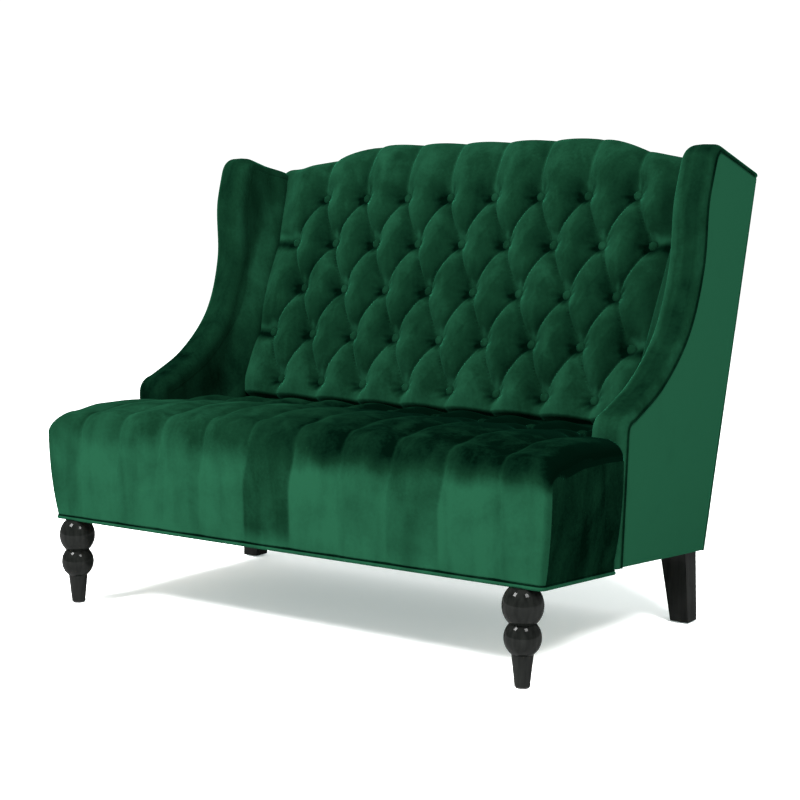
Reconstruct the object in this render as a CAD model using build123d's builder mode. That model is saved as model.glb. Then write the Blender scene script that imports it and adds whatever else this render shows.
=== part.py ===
from build123d import *
import os
from math import acos, cos, degrees, hypot, radians, sin, tan

os.makedirs("parts", exist_ok=True)

# A high back settee: a buttoned back between two wings, a fixed channelled seat,
# turned legs in front and square raked legs behind. Millimetres, +Z up. The
# settee faces -Y, and the origin is on the floor under the middle of its box.

# ------------------------------------------------------------ driving sizes
# Seat box
frame_underside = 190.0        # underside of the wooden seat frame above the floor
rail_height = 110.0            # height of the four seat rails
rail_thickness = 28.0          # thickness of the four seat rails
centre_rail_width = 60.0
centre_rail_height = 40.0
seat_front = -413.5            # fullest line of the upholstered front
front_padding = 16.0           # padding and cover over the front rail
seat_front_draw = 8.0          # how far the front is drawn in at its bottom edge
seat_side_proud = 5.0          # how far the seat's sides stand out of the arms
seat_side_draw = 17.0          # how far each side is drawn in at its bottom edge
seat_over_frame = 248.0        # the seat's middle pillows over the frame's underside
seat_crown = 16.0              # how much lower the seat's top is beside the arms
seat_edge_radius = 50.0        # round of the seat's front edge
seat_front_drop = 10.0         # how much lower the seat's top is over that edge
seat_corner_round = 44.0       # round of the seat's top edges at its sides
front_corner_round = 12.0      # round of the upright corners at the front
seat_pad = 40.0                # padding and cover over the seat foam
seat_tuck = 21.0               # how far the seat goes on behind the lowest back buttons

# Bottom trim
piping = 6.0                   # diameter of the sewn piping
piping_proud = 3.0             # how far the piping stands out
band_inset = 2.0               # how far the bottom band stands back
band_width = 8.0               # how far the band reaches in under the frame
dust_cloth = 1.0               # thickness of the cloth under the seat

# Seat tufting
seat_buttons_in_front_row = 10
seat_button_margin = 25.0      # from the outer button of that row to the arm
seat_row_setback = 33.0        # from the arms' front to the front row of seat buttons
seat_row_gap = 100.0           # from one row of seat buttons to the next
seat_pleat = 11.0              # depth of the seat's pleats
crease_reach = 49.0            # from the crease back to the lowest back buttons
crease_drop = 23.0             # how far it dips there
front_pleat = 6.0              # depth of the channels' seams over the front edge
top_pleat = 7.0                # their depth on top of the seat
crease_pleat = 0.6             # their depth under the back pad
seat_front_slope = 84.0        # from the front edge's round back to the full height
seat_lip = 12.0                # cover beside the seat foam between the arms

# Back
between_wings = 1116.0         # clear width between the wings at seat height
back_rake = 23.0               # lean of the buttoned face, degrees
low_row_y = 139.5              # y of the lowest row of back buttons
low_row_over_seat = 23.5       # height of that row over the seat's top
crest_over_row = 77.4          # from the top row up to the crest beside the wings
back_rows = 5
back_buttons_in_odd_row = 8
back_button_margin = 74.0      # from the outer button of an even row to the wing
back_pillow = 37.0             # how far a pillow stands in front of its buttons
back_foot_pillow = 22.0        # the same at the crease above the seat
back_skin = 12.0               # padding left behind the buttons
back_foam_thickness = 18.0
crest_over_seat = 579.0        # top of the back's middle over the seat's top
crest_drop = 51.0              # how much lower the crest is beside the wings
crest_inset = 28.0             # from where the crest has come down to the wings
crest_setback = 16.0           # how far the crest lies behind the buttoned face
crest_start = 48.0             # from the top row of buttons to where the crest turns
crest_fall = 12.0              # how far the crest falls towards the outside back
crest_padding = 24.0           # padding over the top rail
top_rail_height = 90.0         # height of the top rail beside the wings
stile_width = 60.0
lower_rail_height = 70.0
lower_rail_drop = 20.0         # from the lowest row of buttons down to its lower edge
back_rail_thickness = 24.0
outside_rake = 11.3            # lean of the outside back, degrees
outside_foot_y = 260.5         # y of the outside back at its bottom edge
outside_foot_drop = 39.0       # how far that edge hangs under the frame
outside_thickness = 7.0        # outside back: board, wadding and cover
outside_drop = 29.0            # how far its top edge lies under the crest
outside_inset = 2.0            # how far it stops short of the wings' tops

# Wings and arms
wing_lean = 2.3                # outward lean of each wing, degrees
lining_thickness = 40.0        # padded inside face of a wing
wing_board_thickness = 18.0    # plywood wing frame
side_cover_thickness = 17.0    # padded outside cover of a wing
roll_width = 32.0              # width of the padded roll round a wing's edge
roll_round = 27.0              # radius of that roll
roll_proud = 2.0               # how far the roll stands out of the outside cover
arm_front = -137.5             # y of the front face of the arms
arm_foot_drop = 5.0            # how far the arms' lower edge lies under the frame
lining_over_rail = 12.0        # lower edge of the wing lining over the side rails
post_setback = 17.5            # the back posts' front edge behind the lowest buttons
post_thickness = 25.0

# Wing edge, seen from the side. It starts to round at the seat's height.
arm_nose_depth = 38.0          # from the arm's front back to the top of its nose
arm_nose_rise = 40.0           # top of the nose over the seat's top
# y, and share of the height from the nose's top to the wing's upper corner
wing_sweep_shares = [(5.5, 0.110), (106.5, 0.318), (150.5, 0.566), (159.5, 0.867)]
wing_corner_foot_y = 178.5
wing_corner_top_y = 220.5
wing_corner_drop = 16.0        # the corner's foot under the crest beside the wings
wing_corner_rise = 24.0        # the corner's top over it
wing_back_drop = 26.0          # the wing's top at the outside back under it

# Legs. Each pair is a radius and how far it lies under the frame.
front_leg_inset = 66.0         # from the seat's side to a front leg's axis
front_leg_setback = 24.0       # from the seat's front to that axis
foot_radius = 14.5             # front leg at the floor
ankle = (20.5, 128.0)          # where the taper ends
low_ball = (34.8, 98.0)
neck = (24.5, 72.0)
high_ball = (38.5, 39.0)
leg_head_radius = 17.0         # front leg under its plate
leg_plate = 5.0                # thickness of the steel plate over each front leg
leg_plate_side = 24.0          # side of that plate
rear_leg_width = 63.0          # rear leg from side to side at its top
rear_leg_depth = 52.0          # rear leg from front to back at its top
rear_leg_foot = 41.0           # side of a rear leg at the floor
rear_leg_setback = 8.0         # from the outside back's foot to a rear leg's back face
rear_leg_rake = 6.0            # how far its foot's front face stands further back
rear_leg_splay = 8.5           # how far its foot stands further out
glide_thickness = 3.0          # plastic glide under each leg
glide_radius = 12.0
bolt_radius = 4.0
bolt_in_leg = 60.0
bolt_in_rail = 60.0

# Springs, webbing and small pieces
spring_count = 8
spring_wire = 4.0
spring_width = 56.0            # width of a sinuous spring's zigzag
spring_bends = 14
spring_margin = 80.0           # from the outer springs to the side rails
spring_seat = 8.0              # how far a spring's end reaches over its rail
clip_width = 12.0
clip_length = 7.0
clip_height = 6.5
felt_thickness = 3.0
edge_roll_depth = 16.0
webbing_width = 50.0
webbing_thickness = 1.5
upright_webs = 8
cross_webs = 3
block_leg = 90.0               # leg of a triangular corner block
block_height = 40.0
button_radius = 11.5
button_height = 8.0
button_round = 4.5             # round of a button's face
button_sink = 1.0              # how far a button is pulled into its pit
pleat_width = 14.0             # width of the gathered pit round a button
clear = 0.3                    # clearance beside curved soft faces
bolt_gap = 0.1                 # clearance round a bolt

# ------------------------------------------------------------ shared places
lean = radians(wing_lean)
rake = radians(back_rake)
outer_rake = radians(outside_rake)
rail_top = frame_underside + rail_height
front_rail_face = seat_front + front_padding
cover_bottom = frame_underside + piping
seat_top = frame_underside + seat_over_frame
seat_front_row = arm_front + seat_row_setback
seat_back_end = low_row_y + seat_tuck
crease_y = low_row_y - crease_reach
low_row_z = seat_top + low_row_over_seat
crest_high = seat_top + crest_over_seat
crest_low = crest_high - crest_drop
crest_flat = between_wings / 4
crest_foot = between_wings / 2 - crest_inset
top_row_z = crest_low - crest_over_row
back_row_gap = (top_row_z - low_row_z) / cos(rake) / (back_rows - 1)
outside_foot_z = frame_underside - outside_foot_drop
arm_foot = frame_underside - arm_foot_drop
lining_foot = rail_top + lining_over_rail
post_front = low_row_y + post_setback
arm_nose_foot = seat_top
arm_nose_top = (arm_front + arm_nose_depth, seat_top + arm_nose_rise)
wing_corner_foot = (wing_corner_foot_y, crest_low - wing_corner_drop)
wing_corner_top = (wing_corner_top_y, crest_low + wing_corner_rise)
wing_back_top = crest_low - wing_back_drop
sweep_rise = wing_corner_foot[1] - arm_nose_top[1]
wing_sweep = [(y, arm_nose_top[1] + share * sweep_rise) for y, share in wing_sweep_shares]
board_depth = lining_thickness
cover_depth = board_depth + wing_board_thickness
wing_depth = cover_depth + side_cover_thickness
seat_half_width = between_wings / 2 + wing_depth / cos(lean) + seat_side_proud
front_leg_x = seat_half_width - front_leg_inset
front_leg_y = seat_front + front_leg_setback
rear_leg_front = outside_foot_y - rear_leg_setback - rear_leg_depth
felt_top = rail_top + spring_wire + clear + felt_thickness
foam_top = seat_top - seat_pad - seat_pleat
frame_depth = back_skin + back_foam_thickness + 2 * webbing_thickness
half_pleat = pleat_width / 2
low_row = Vector(0, low_row_y, low_row_z)
up_back = Vector(0, sin(rake), cos(rake))
out_back = Vector(0, -cos(rake), sin(rake))
back_plane = Plane(origin=low_row, x_dir=(1, 0, 0), z_dir=out_back)


def wing_x(depth, z):
    """x at height z of a sheet that lies depth mm outboard of the wing's inner face."""
    return between_wings / 2 + (z - seat_top) * tan(lean) + depth / cos(lean)


def outside_y(z, depth=0.0):
    """y at height z of a sheet that lies depth mm inside the outside back."""
    return outside_foot_y + (z - outside_foot_z) * tan(outer_rake) - depth / cos(outer_rake)


def back_y(z, depth):
    """y at height z of a sheet that lies depth mm behind the buttoned face."""
    return low_row_y + (z - low_row_z) * tan(rake) + depth / cos(rake)


def back_z(v, depth=0.0):
    """Height of a point v mm up the back's slope and depth mm behind its face."""
    return low_row_z + v * cos(rake) - depth * sin(rake)


wing_plane = Plane(
    origin=(wing_x(0, 0), 0, 0), x_dir=(0, 1, 0), z_dir=(cos(lean), 0, -sin(lean))
)
outside_plane = Plane(
    origin=(0, outside_foot_y, outside_foot_z),
    x_dir=(-1, 0, 0),
    z_dir=(0, cos(outer_rake), -sin(outer_rake)),
)
inside_of_outside = outside_plane.offset(-outside_thickness)


def save(part, name):
    """Label a finished piece and write it as its own file."""
    part.label = name
    export_step(part, f"parts/{name}.step")


def save_pair(part, name):
    """Write a right-hand piece and its mirrored left-hand twin."""
    save(part, f"{name}_right")
    with BuildPart() as twin:
        mirror(part, about=Plane.YZ)
    save(twin.part, f"{name}_left")


# ------------------------------------------------------------ pillow sections
# Each tufted pad is a ruled loft. Its sections are rows of arcs: wide arcs are
# pillows, narrow ones are the pits of buttons or the pleats, and from one row of
# buttons to the next each wide arc tapers to a narrow one.


def pillow_row(pitch, last, wide_parity, edge, crest, pit):
    """Arcs (left, middle, right) at each step of pitch, every second one wide."""
    arcs = []
    for step in range(-last, last + 1):
        wide = (step + wide_parity) % 2 == 0
        reach = pitch - half_pleat if wide else half_pleat
        middle = crest if wide else pit
        centre = step * pitch
        arcs.append(((centre - reach, edge), (centre, middle), (centre + reach, edge)))
    return arcs


def half_row(pitch, last, edge, crest):
    """Arcs of one width, as halfway between two rows of buttons."""
    arcs = []
    for step in range(-last, last + 1):
        centre = step * pitch
        arcs.append(((centre - pitch / 2, edge), (centre, crest), (centre + pitch / 2, edge)))
    return arcs


def section_plane(place, outward):
    """Plane across a pad, whose own Y points outward."""
    return Plane(origin=place, x_dir=(1, 0, 0), z_dir=Vector(1, 0, 0).cross(outward))


def pad_section(plane, arcs, ends, foot):
    """A closed section: the row of arcs, the end arcs on both sides and a flat floor.

    ends holds (middle, end) points that go on from the last arc to the right, and
    foot is the corner of the floor under the last of them.
    """
    with BuildSketch(plane) as section:
        with BuildLine():
            for left, middle, right in arcs:
                ThreePointArc(left, middle, right)
            start = arcs[-1][2]
            for middle, end in ends:
                ThreePointArc(start, middle, end)
                ThreePointArc(
                    (-start[0], start[1]), (-middle[0], middle[1]), (-end[0], end[1])
                )
                start = end
            Line(start, foot)
            Line(foot, (-foot[0], foot[1]))
            Line((-foot[0], foot[1]), (-start[0], start[1]))
        make_face()
    return section.sketch


# ------------------------------------------------------------ inside back cover
back_steps = back_buttons_in_odd_row
back_pitch = (between_wings / 2 - back_button_margin) / back_steps
top_row_v = (back_rows - 1) * back_row_gap
crest_v = top_row_v + crest_start
tuck_z = seat_top - crease_drop + clear
pleat_edge = 3.0               # height of a pillow's edge beside its button
half_edge = 9.0                # the same halfway between two rows
half_crest = 29.0              # height of the pillows there
side_tuck = 6.0                # how far the pad is drawn in beside the wings
end_pillow = 22.0              # greatest height of the half pillows beside the wings
end_rise = 0.26                # their height as a share of their width
crest_pleat = 10.0             # depth of the pleats over the crest
foot_reach = 65.0              # how far the pad goes on below its lowest row
foot_side = 12.0               # height of its end pillows there
crest_spots = 12               # points of the crest's line on each side
crest_reach = frame_depth + back_rail_thickness


def crest_z(x):
    """Height of the crest at x: level in the middle, falling to both wings."""
    part_way = (crest_foot - abs(x)) / (crest_foot - crest_flat)
    t = min(1.0, max(0.0, part_way))
    return crest_low + (crest_high - crest_low) * t * t * (3 - 2 * t)


def crest_slope(x, drop=0.0):
    """The crest's place up the back's slope, at the depth where the crest lies."""
    return (crest_z(x) - drop - back_z(0, crest_setback)) / cos(rake)


def back_section(place, outward, arcs, side_crest, floor, height):
    """A section of the back pad through place, with height(x, y) over its floor line."""
    half = wing_x(0, place.Z) - clear
    slant = outward.Z * tan(lean)
    last = arcs[-1][2][0]
    middle = (last + half) / 2
    low_crest = min(side_crest, (half - last) * end_rise)
    side = height(half, -side_tuck)
    shaped = [tuple((x, height(x, y)) for x, y in arc) for arc in arcs]
    ends = [((middle, height(middle, low_crest)), (half + side * slant, side))]
    foot = (half + floor * slant, floor)
    return pad_section(section_plane(place, outward), shaped, ends, foot)


def on_face(x, y):
    """Heights over the buttoned face itself."""
    return y


def over_crest(turn, fall=0.0):
    """Heights round the crest's axis, turned from the pad's face towards its top."""

    def height(x, y):
        front = y + crest_setback
        pleat = (back_pillow - y) * crest_pleat / (back_pillow - pleat_edge)
        top = crest_slope(x, fall) - crest_v - pleat
        return 1 / hypot(cos(turn) / front, sin(turn) / top)

    return height


pleated = pillow_row(back_pitch, back_steps, 0, pleat_edge, back_pillow, 0.0)
pleated_foot = pillow_row(back_pitch, back_steps, 0, pleat_edge, back_foot_pillow, 0.0)
between_rows = half_row(back_pitch, back_steps, half_edge, half_crest)
crest_axis = low_row + up_back * crest_v - out_back * crest_setback
crest_floor = crest_setback - back_skin


def back_sections():
    """All sections of the back pad, from its foot over the crest to the outside back."""
    foot = low_row - up_back * foot_reach
    sections = [back_section(foot, out_back, pleated_foot, foot_side, -back_skin, on_face)]
    for row in range(back_rows):
        arcs = pillow_row(back_pitch, back_steps, row % 2, pleat_edge, back_pillow, 0.0)
        place = low_row + up_back * (row * back_row_gap)
        sections.append(back_section(place, out_back, arcs, end_pillow, -back_skin, on_face))
        if row < back_rows - 1:
            place = place + up_back * (back_row_gap / 2)
            sections.append(
                back_section(place, out_back, between_rows, end_pillow, -back_skin, on_face)
            )
    for turn in (0, 30, 60, 90):
        outward = out_back * cos(radians(turn)) + up_back * sin(radians(turn))
        height = over_crest(radians(turn))
        sections.append(
            back_section(crest_axis, outward, pleated, end_pillow, crest_floor, height)
        )
    for way in (0.5, 1.0):
        place = crest_axis - out_back * (crest_reach * way)
        height = over_crest(radians(90), crest_fall * way)
        sections.append(back_section(place, up_back, pleated, end_pillow, crest_floor, height))
    return sections


def back_side(v, depth):
    """Half width between the wing linings, v mm up the slope and depth mm behind it."""
    return wing_x(0, back_z(v, depth)) - clear


def crest_face(depth, drop, low_v, widen=0.0):
    """Face in the back's slope: the crest's line moved down, two sides, a level foot."""
    half = back_side(low_v, depth) + widen
    top_half = back_side(crest_slope(half, drop), depth) + widen
    spots = [top_half * step / crest_spots for step in range(-crest_spots, crest_spots + 1)]
    with BuildSketch(back_plane.offset(-depth)) as face:
        with BuildLine():
            crest_line = Spline(*[(x, crest_slope(x, drop)) for x in spots])
            Line(crest_line @ 1, (half, low_v))
            Line((half, low_v), (-half, low_v))
            Line((-half, low_v), crest_line @ 0)
        make_face()
    return face.sketch


def row_spots(pitch, outer_step):
    """x of each button in a row whose outer buttons lie outer_step steps out."""
    return [pitch * step for step in range(-outer_step, outer_step + 1, 2)]


back_spots = [
    (x, row * back_row_gap)
    for row in range(back_rows)
    for x in row_spots(back_pitch, back_steps - 1 + row % 2)
]

with BuildPart() as inside_back_cover:
    loft(back_sections(), ruled=True)
    # the pocket for the foam, the webbing and the top rail
    pocket = crest_face(back_skin, crest_padding, -foot_reach, side_tuck)
    extrude(pocket, -crest_reach - crest_setback, mode=Mode.SUBTRACT)
    split(bisect_by=inside_of_outside, keep=Keep.BOTTOM)
    split(bisect_by=Plane.XY.offset(tuck_z), keep=Keep.TOP)
    with BuildSketch(back_plane.offset(-button_sink)):
        with Locations(*back_spots):
            Circle(button_radius + clear)
    extrude(amount=back_pillow, mode=Mode.SUBTRACT)
save(inside_back_cover.part, "inside_back_cover")

with BuildPart() as back_buttons:
    with BuildSketch(back_plane.offset(-button_sink)):
        with Locations(*back_spots):
            Circle(button_radius)
    extrude(amount=button_height)
    domes = back_buttons.edges().filter_by(GeomType.CIRCLE).group_by(Axis(low_row, out_back))[-1]
    fillet(domes, button_round)
save(back_buttons.part, "back_buttons")

# ------------------------------------------------------------ back foam and frame
with BuildPart() as back_foam:
    extrude(crest_face(back_skin, crest_padding + clear, -foot_reach), -back_foam_thickness)
    split(bisect_by=Plane.XY.offset(tuck_z), keep=Keep.TOP)
save(back_foam.part, "back_foam")

rail_foot_v = crest_slope(between_wings, crest_padding) - top_rail_height
tenon_height = 35.0
lower_rail_v = -lower_rail_drop


def rail_half(v, depth):
    """Half width between the back posts at a place on the slope."""
    rear = depth + back_rail_thickness
    return wing_x(board_depth - post_thickness, back_z(v, rear)) - clear


def rail_bar(low_v, high_v, depth):
    """A level bar in the slope from one back post to the other."""
    with BuildSketch(back_plane.offset(-depth)) as face:
        with BuildLine():
            Polyline(
                (rail_half(low_v, depth), low_v),
                (rail_half(high_v, depth), high_v),
                (-rail_half(high_v, depth), high_v),
                (-rail_half(low_v, depth), low_v),
                close=True,
            )
        make_face()
    return face.sketch


with BuildPart() as back_top_rail:
    head = crest_face(frame_depth, crest_padding + clear, rail_foot_v, -clear)
    extrude(head, -back_rail_thickness)
    extrude(rail_bar(rail_foot_v, rail_foot_v + tenon_height, frame_depth), -back_rail_thickness)
    split(bisect_by=inside_of_outside, keep=Keep.BOTTOM)
save(back_top_rail.part, "back_top_rail")

with BuildPart() as back_lower_rail:
    extrude(
        rail_bar(lower_rail_v, lower_rail_v + lower_rail_height, frame_depth),
        -back_rail_thickness,
    )
save(back_lower_rail.part, "back_lower_rail")

stile_foot_v = lower_rail_v + lower_rail_height
with BuildPart() as back_centre_stile:
    with BuildSketch(back_plane.offset(-frame_depth)):
        with Locations((0, (stile_foot_v + rail_foot_v) / 2)):
            Rectangle(stile_width, rail_foot_v - stile_foot_v)
    extrude(amount=-back_rail_thickness)
save(back_centre_stile.part, "back_centre_stile")

with BuildPart() as back_webbing:
    upright_length = rail_foot_v + tenon_height - lower_rail_v
    with BuildSketch(back_plane.offset(-frame_depth)):
        with Locations((0, lower_rail_v + upright_length / 2)):
            with GridLocations(back_pitch * 2, 1, upright_webs, 1):
                Rectangle(webbing_width, upright_length)
    extrude(amount=webbing_thickness)
    for web in range(cross_webs):
        v = stile_foot_v + (rail_foot_v - stile_foot_v) * (web + 1) / (cross_webs + 1)
        with BuildSketch(back_plane.offset(-frame_depth + webbing_thickness)):
            with Locations((0, v)):
                Rectangle(2 * back_side(v, frame_depth), webbing_width)
        extrude(amount=webbing_thickness)
save(back_webbing.part, "back_webbing")

# ------------------------------------------------------------ wings and arms


def wing_point(y, z):
    """A place in the wing's own leaning plane."""
    return (y, z / cos(lean))


def wing_edge(inset):
    """Points of the wing's swept edge, from the nose to its corner, moved inward."""
    points = [arm_nose_top, *wing_sweep, wing_corner_foot]
    moved = []
    for i, (y, z) in enumerate(points):
        before = points[max(i - 1, 0)]
        after = points[min(i + 1, len(points) - 1)]
        run = after[0] - before[0]
        rise = after[1] - before[1]
        length = hypot(run, rise)
        moved.append(wing_point(y + inset * rise / length, z - inset * run / length))
    return moved


wing_rear = outside_y(crest_high)


def wing_face(inset, front_foot, rear_foot):
    """The wing from the side, its front and top edges moved inward by inset.

    It runs on behind the outside back, which each wing piece is cut by.
    """
    edge = wing_edge(inset)
    corner_y = wing_corner_top[0] + inset / 8
    corner_z = wing_corner_top[1] - inset
    fall = (corner_z - wing_back_top + inset) / (outside_y(wing_back_top) - corner_y)
    corner = wing_point(corner_y, corner_z)
    nose = wing_point(arm_front + inset, arm_nose_foot)
    back_top = wing_point(wing_rear, corner_z - fall * (wing_rear - corner_y))
    back_foot = wing_point(wing_rear, rear_foot)
    start_way = Vector(*edge[1]) - Vector(*edge[0])
    end_way = Vector(*edge[-1]) - Vector(*edge[-2])
    with BuildSketch(wing_plane) as face:
        with BuildLine():
            Line(wing_point(arm_front + inset, front_foot), nose)
            TangentArc(nose, edge[0], tangent=(0, 1))
            Spline(*edge, tangents=[start_way, end_way])
            TangentArc(edge[-1], corner, tangent=end_way)
            Line(corner, back_top)
            Line(back_top, back_foot)
            Line(back_foot, wing_point(arm_front + inset, front_foot))
        make_face()
    return face.sketch


def out_of_wing(sketch, start, thickness, mode=Mode.ADD):
    """Extrude a side view from start to start + thickness mm outboard of the wing's inside."""
    return extrude(sketch.moved(Location(wing_plane.z_dir * start)), thickness, mode=mode)


with BuildPart() as behind_lining:
    # all that lies behind the back's padding and behind the posts' front edge
    with Locations((0, post_front, 0)):
        Box(3 * between_wings, wing_rear, 2 * crest_high, align=(Align.CENTER, Align.MIN))
    split(bisect_by=back_plane.offset(-back_skin), keep=Keep.BOTTOM)

with BuildPart() as wing_board:
    out_of_wing(wing_face(roll_width, 0, 0), board_depth, wing_board_thickness)
    split(bisect_by=inside_of_outside, keep=Keep.BOTTOM)
    split(bisect_by=Plane.XY.offset(frame_underside), keep=Keep.TOP)
save_pair(wing_board.part, "wing_board")

with BuildPart() as wing_lining:
    out_of_wing(wing_face(roll_width, lining_foot, lining_foot), 0, lining_thickness)
    add(behind_lining.part, mode=Mode.SUBTRACT)
save_pair(wing_lining.part, "wing_lining")

with BuildPart() as back_post:
    out_of_wing(wing_face(roll_width, 0, 0), board_depth - post_thickness, post_thickness)
    split(bisect_by=Plane.XZ.offset(-post_front), keep=Keep.BOTTOM)
    split(bisect_by=back_plane.offset(-frame_depth), keep=Keep.BOTTOM)
    split(bisect_by=inside_of_outside, keep=Keep.BOTTOM)
    split(bisect_by=Plane.XY.offset(rail_top), keep=Keep.TOP)
save_pair(back_post.part, "back_post")

with BuildPart() as side_cover:
    out_of_wing(
        wing_face(roll_width, arm_foot, outside_foot_z), cover_depth, side_cover_thickness
    )
    split(bisect_by=inside_of_outside, keep=Keep.BOTTOM)
save_pair(side_cover.part, "side_cover")

roll_depth = wing_depth + roll_proud


def on_swept_edge(edge):
    """Whether an edge of the roll follows the arm and wing, not its foot or its back."""
    place = edge.center()
    return place.Z > arm_foot + clear and place.Y < wing_rear - clear


with BuildPart() as wing_roll:
    out_of_wing(wing_face(0, arm_foot, arm_foot), 0, roll_depth)
    sides = wing_roll.faces().sort_by(Axis.X)
    fillet((sides[0].edges() + sides[-1].edges()).filter_by(on_swept_edge), roll_round)
    out_of_wing(wing_face(roll_width, 0, 0), 0, roll_depth, Mode.SUBTRACT)
    # the side rail runs inside the roll's foot
    with BuildSketch(wing_plane):
        with Locations((arm_front + roll_width / 2, lining_foot / 2)):
            Rectangle(roll_width + 2 * clear, lining_foot)
    extrude(amount=board_depth, mode=Mode.SUBTRACT)
    split(bisect_by=inside_of_outside, keep=Keep.BOTTOM)
save_pair(wing_roll.part, "wing_roll")

welt_height = roll_proud + piping_proud
with BuildPart() as wing_welt:
    out_of_wing(wing_face(roll_width, arm_foot, arm_foot), wing_depth, welt_height)
    out_of_wing(wing_face(roll_width + piping, 0, 0), wing_depth, welt_height, Mode.SUBTRACT)
    split(bisect_by=inside_of_outside, keep=Keep.BOTTOM)
save_pair(wing_welt.part, "wing_welt")

# ------------------------------------------------------------ outside back


def outside_point(x, z):
    """A place in the outside back's own plane, seen from behind."""
    return (-x, (z - outside_foot_z) / cos(outer_rake))


with BuildPart() as outside_back:
    foot_half = wing_x(wing_depth, outside_foot_z)
    shoulder_z = wing_back_top - roll_width
    shoulder_half = wing_x(wing_depth, shoulder_z)
    brow_half = wing_x(roll_depth - roll_round, wing_back_top)
    with BuildSketch(outside_plane):
        with BuildLine():
            spots = [crest_foot * step / crest_spots for step in range(-crest_spots, crest_spots + 1)]
            top = Spline(*[outside_point(x, crest_z(x) - outside_drop) for x in spots])
            left = [
                outside_point(-brow_half, wing_back_top - outside_inset),
                outside_point(-shoulder_half, shoulder_z),
                outside_point(-foot_half, outside_foot_z),
            ]
            right = [(-x, y) for x, y in left]
            Polyline(top @ 0, *left, right[2], right[1], right[0], top @ 1)
        make_face()
    extrude(amount=-outside_thickness)
save(outside_back.part, "outside_back")

# ------------------------------------------------------------ seat cover
seat_steps = seat_buttons_in_front_row - 2
seat_pitch = (between_wings / 2 - seat_button_margin) / (seat_steps + 1)
axis_y = seat_front + seat_edge_radius
axis_z = seat_top - seat_front_drop - seat_edge_radius
seat_floor = 2.0               # how far the pad's underside lies outside its edge's axis
front_rail_back = front_rail_face + rail_thickness
front_rail_half = wing_x(board_depth, rail_top)
skirt_x = front_rail_half + clear
arm_line = arm_front - clear
foam_front = front_rail_face + edge_roll_depth
foam_half = wing_x(0, lining_foot) - seat_lip
front_draw_share = 0.15        # share of the draw that is left halfway down the front
corner_dip = 2.0               # how far the outer channels' edges lie under their crests
corner_share = 0.9             # share of the pad's depth taken by its rounded corner
pit_share = 1.3                # depth of a button's pit, in pleat depths
half_share = 0.75              # depth of a seam halfway between two rows of buttons
low_share = 0.1                # depth of the pillows there
edge_axis = Vector(0, axis_y, axis_z)
forward = Vector(0, -1, 0)
upward = Vector(0, 0, 1)


def seat_z(x):
    """Height of the seat's pillows at x, behind the round of the front edge."""
    return seat_top - seat_crown * (x / seat_half_width) ** 2


def seat_rise(x):
    """The same over the axis of the front edge's round."""
    return seat_z(x) - axis_z


def sunk(arcs, crest, pleat):
    """Turn arcs of (x, share of the pleat's depth) into points under crest(x)."""
    return [tuple((x, crest(x) - pleat * share) for x, share in arc) for arc in arcs]


def front_section(place, outward, crest, half, pleat, corner):
    """A section across the whole seat, in front of the arms, with rounded corners."""
    arcs = sunk(pillow_row(seat_pitch, seat_steps, 0, 1, 0, pit_share), crest, pleat)
    outer_button = seat_pitch * (seat_steps + 1)
    channel_start = outer_button + half_pleat
    channel_end = half - corner
    corner_top = crest(channel_end) - corner_dip
    corner_drop = min(corner, (corner_top - seat_floor) * corner_share)
    bulge = sin(radians(45))
    ends = [
        (
            (outer_button, crest(outer_button) - pleat * pit_share),
            (channel_start, crest(channel_start) - pleat),
        ),
        (
            ((channel_start + channel_end) / 2, crest(outer_button)),
            (channel_end, corner_top),
        ),
        (
            (channel_end + corner * bulge, corner_top - corner_drop * (1 - bulge)),
            (half, corner_top - corner_drop),
        ),
    ]
    return pad_section(section_plane(place, outward), arcs, ends, (half, seat_floor))


def front_sections():
    """Sections from the bottom of the front, round its edge and back to the arms."""
    half = seat_half_width
    middle_z = (cover_bottom + axis_z) / 2
    sections = []
    for z, draw in ((cover_bottom, 1.0), (middle_z, front_draw_share)):
        sections.append(
            front_section(
                Vector(0, axis_y, z),
                forward,
                lambda x: seat_edge_radius - seat_front_draw * draw,
                half - seat_side_draw * draw,
                front_pleat,
                front_corner_round,
            )
        )
    for turn in (0, 30, 60, 90):
        across = cos(radians(turn))
        over = sin(radians(turn))
        corner = front_corner_round + (seat_corner_round - front_corner_round) * over
        sections.append(
            front_section(
                edge_axis,
                forward * across + upward * over,
                lambda x: 1 / hypot(across / seat_edge_radius,
                                    over / (seat_rise(x) - seat_front_drop)),
                half,
                front_pleat,
                corner,
            )
        )
    for y in (axis_y + seat_front_slope, arm_line):
        place = Vector(0, y, axis_z)
        sections.append(
            front_section(place, upward, seat_rise, half, top_pleat, seat_corner_round)
        )
    return sections


def rear_section(y, arcs, first_end, crest, pleat):
    """A section of the seat between the arms; first_end is (middle, share, end)."""
    place = Vector(0, y, axis_z)
    foot_half = wing_x(0, axis_z + seat_floor) - clear
    middle, share, end = first_end
    side = crest(foot_half) - pleat - corner_dip
    half = wing_x(0, axis_z + side) - clear
    ends = [
        ((middle, crest(middle) - pleat * share), (end, crest(end) - pleat)),
        (((end + half) / 2, crest(half) - pleat), (half, side)),
    ]
    plane = section_plane(place, upward)
    return pad_section(plane, sunk(arcs, crest, pleat), ends, (foot_half, seat_floor))


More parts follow.
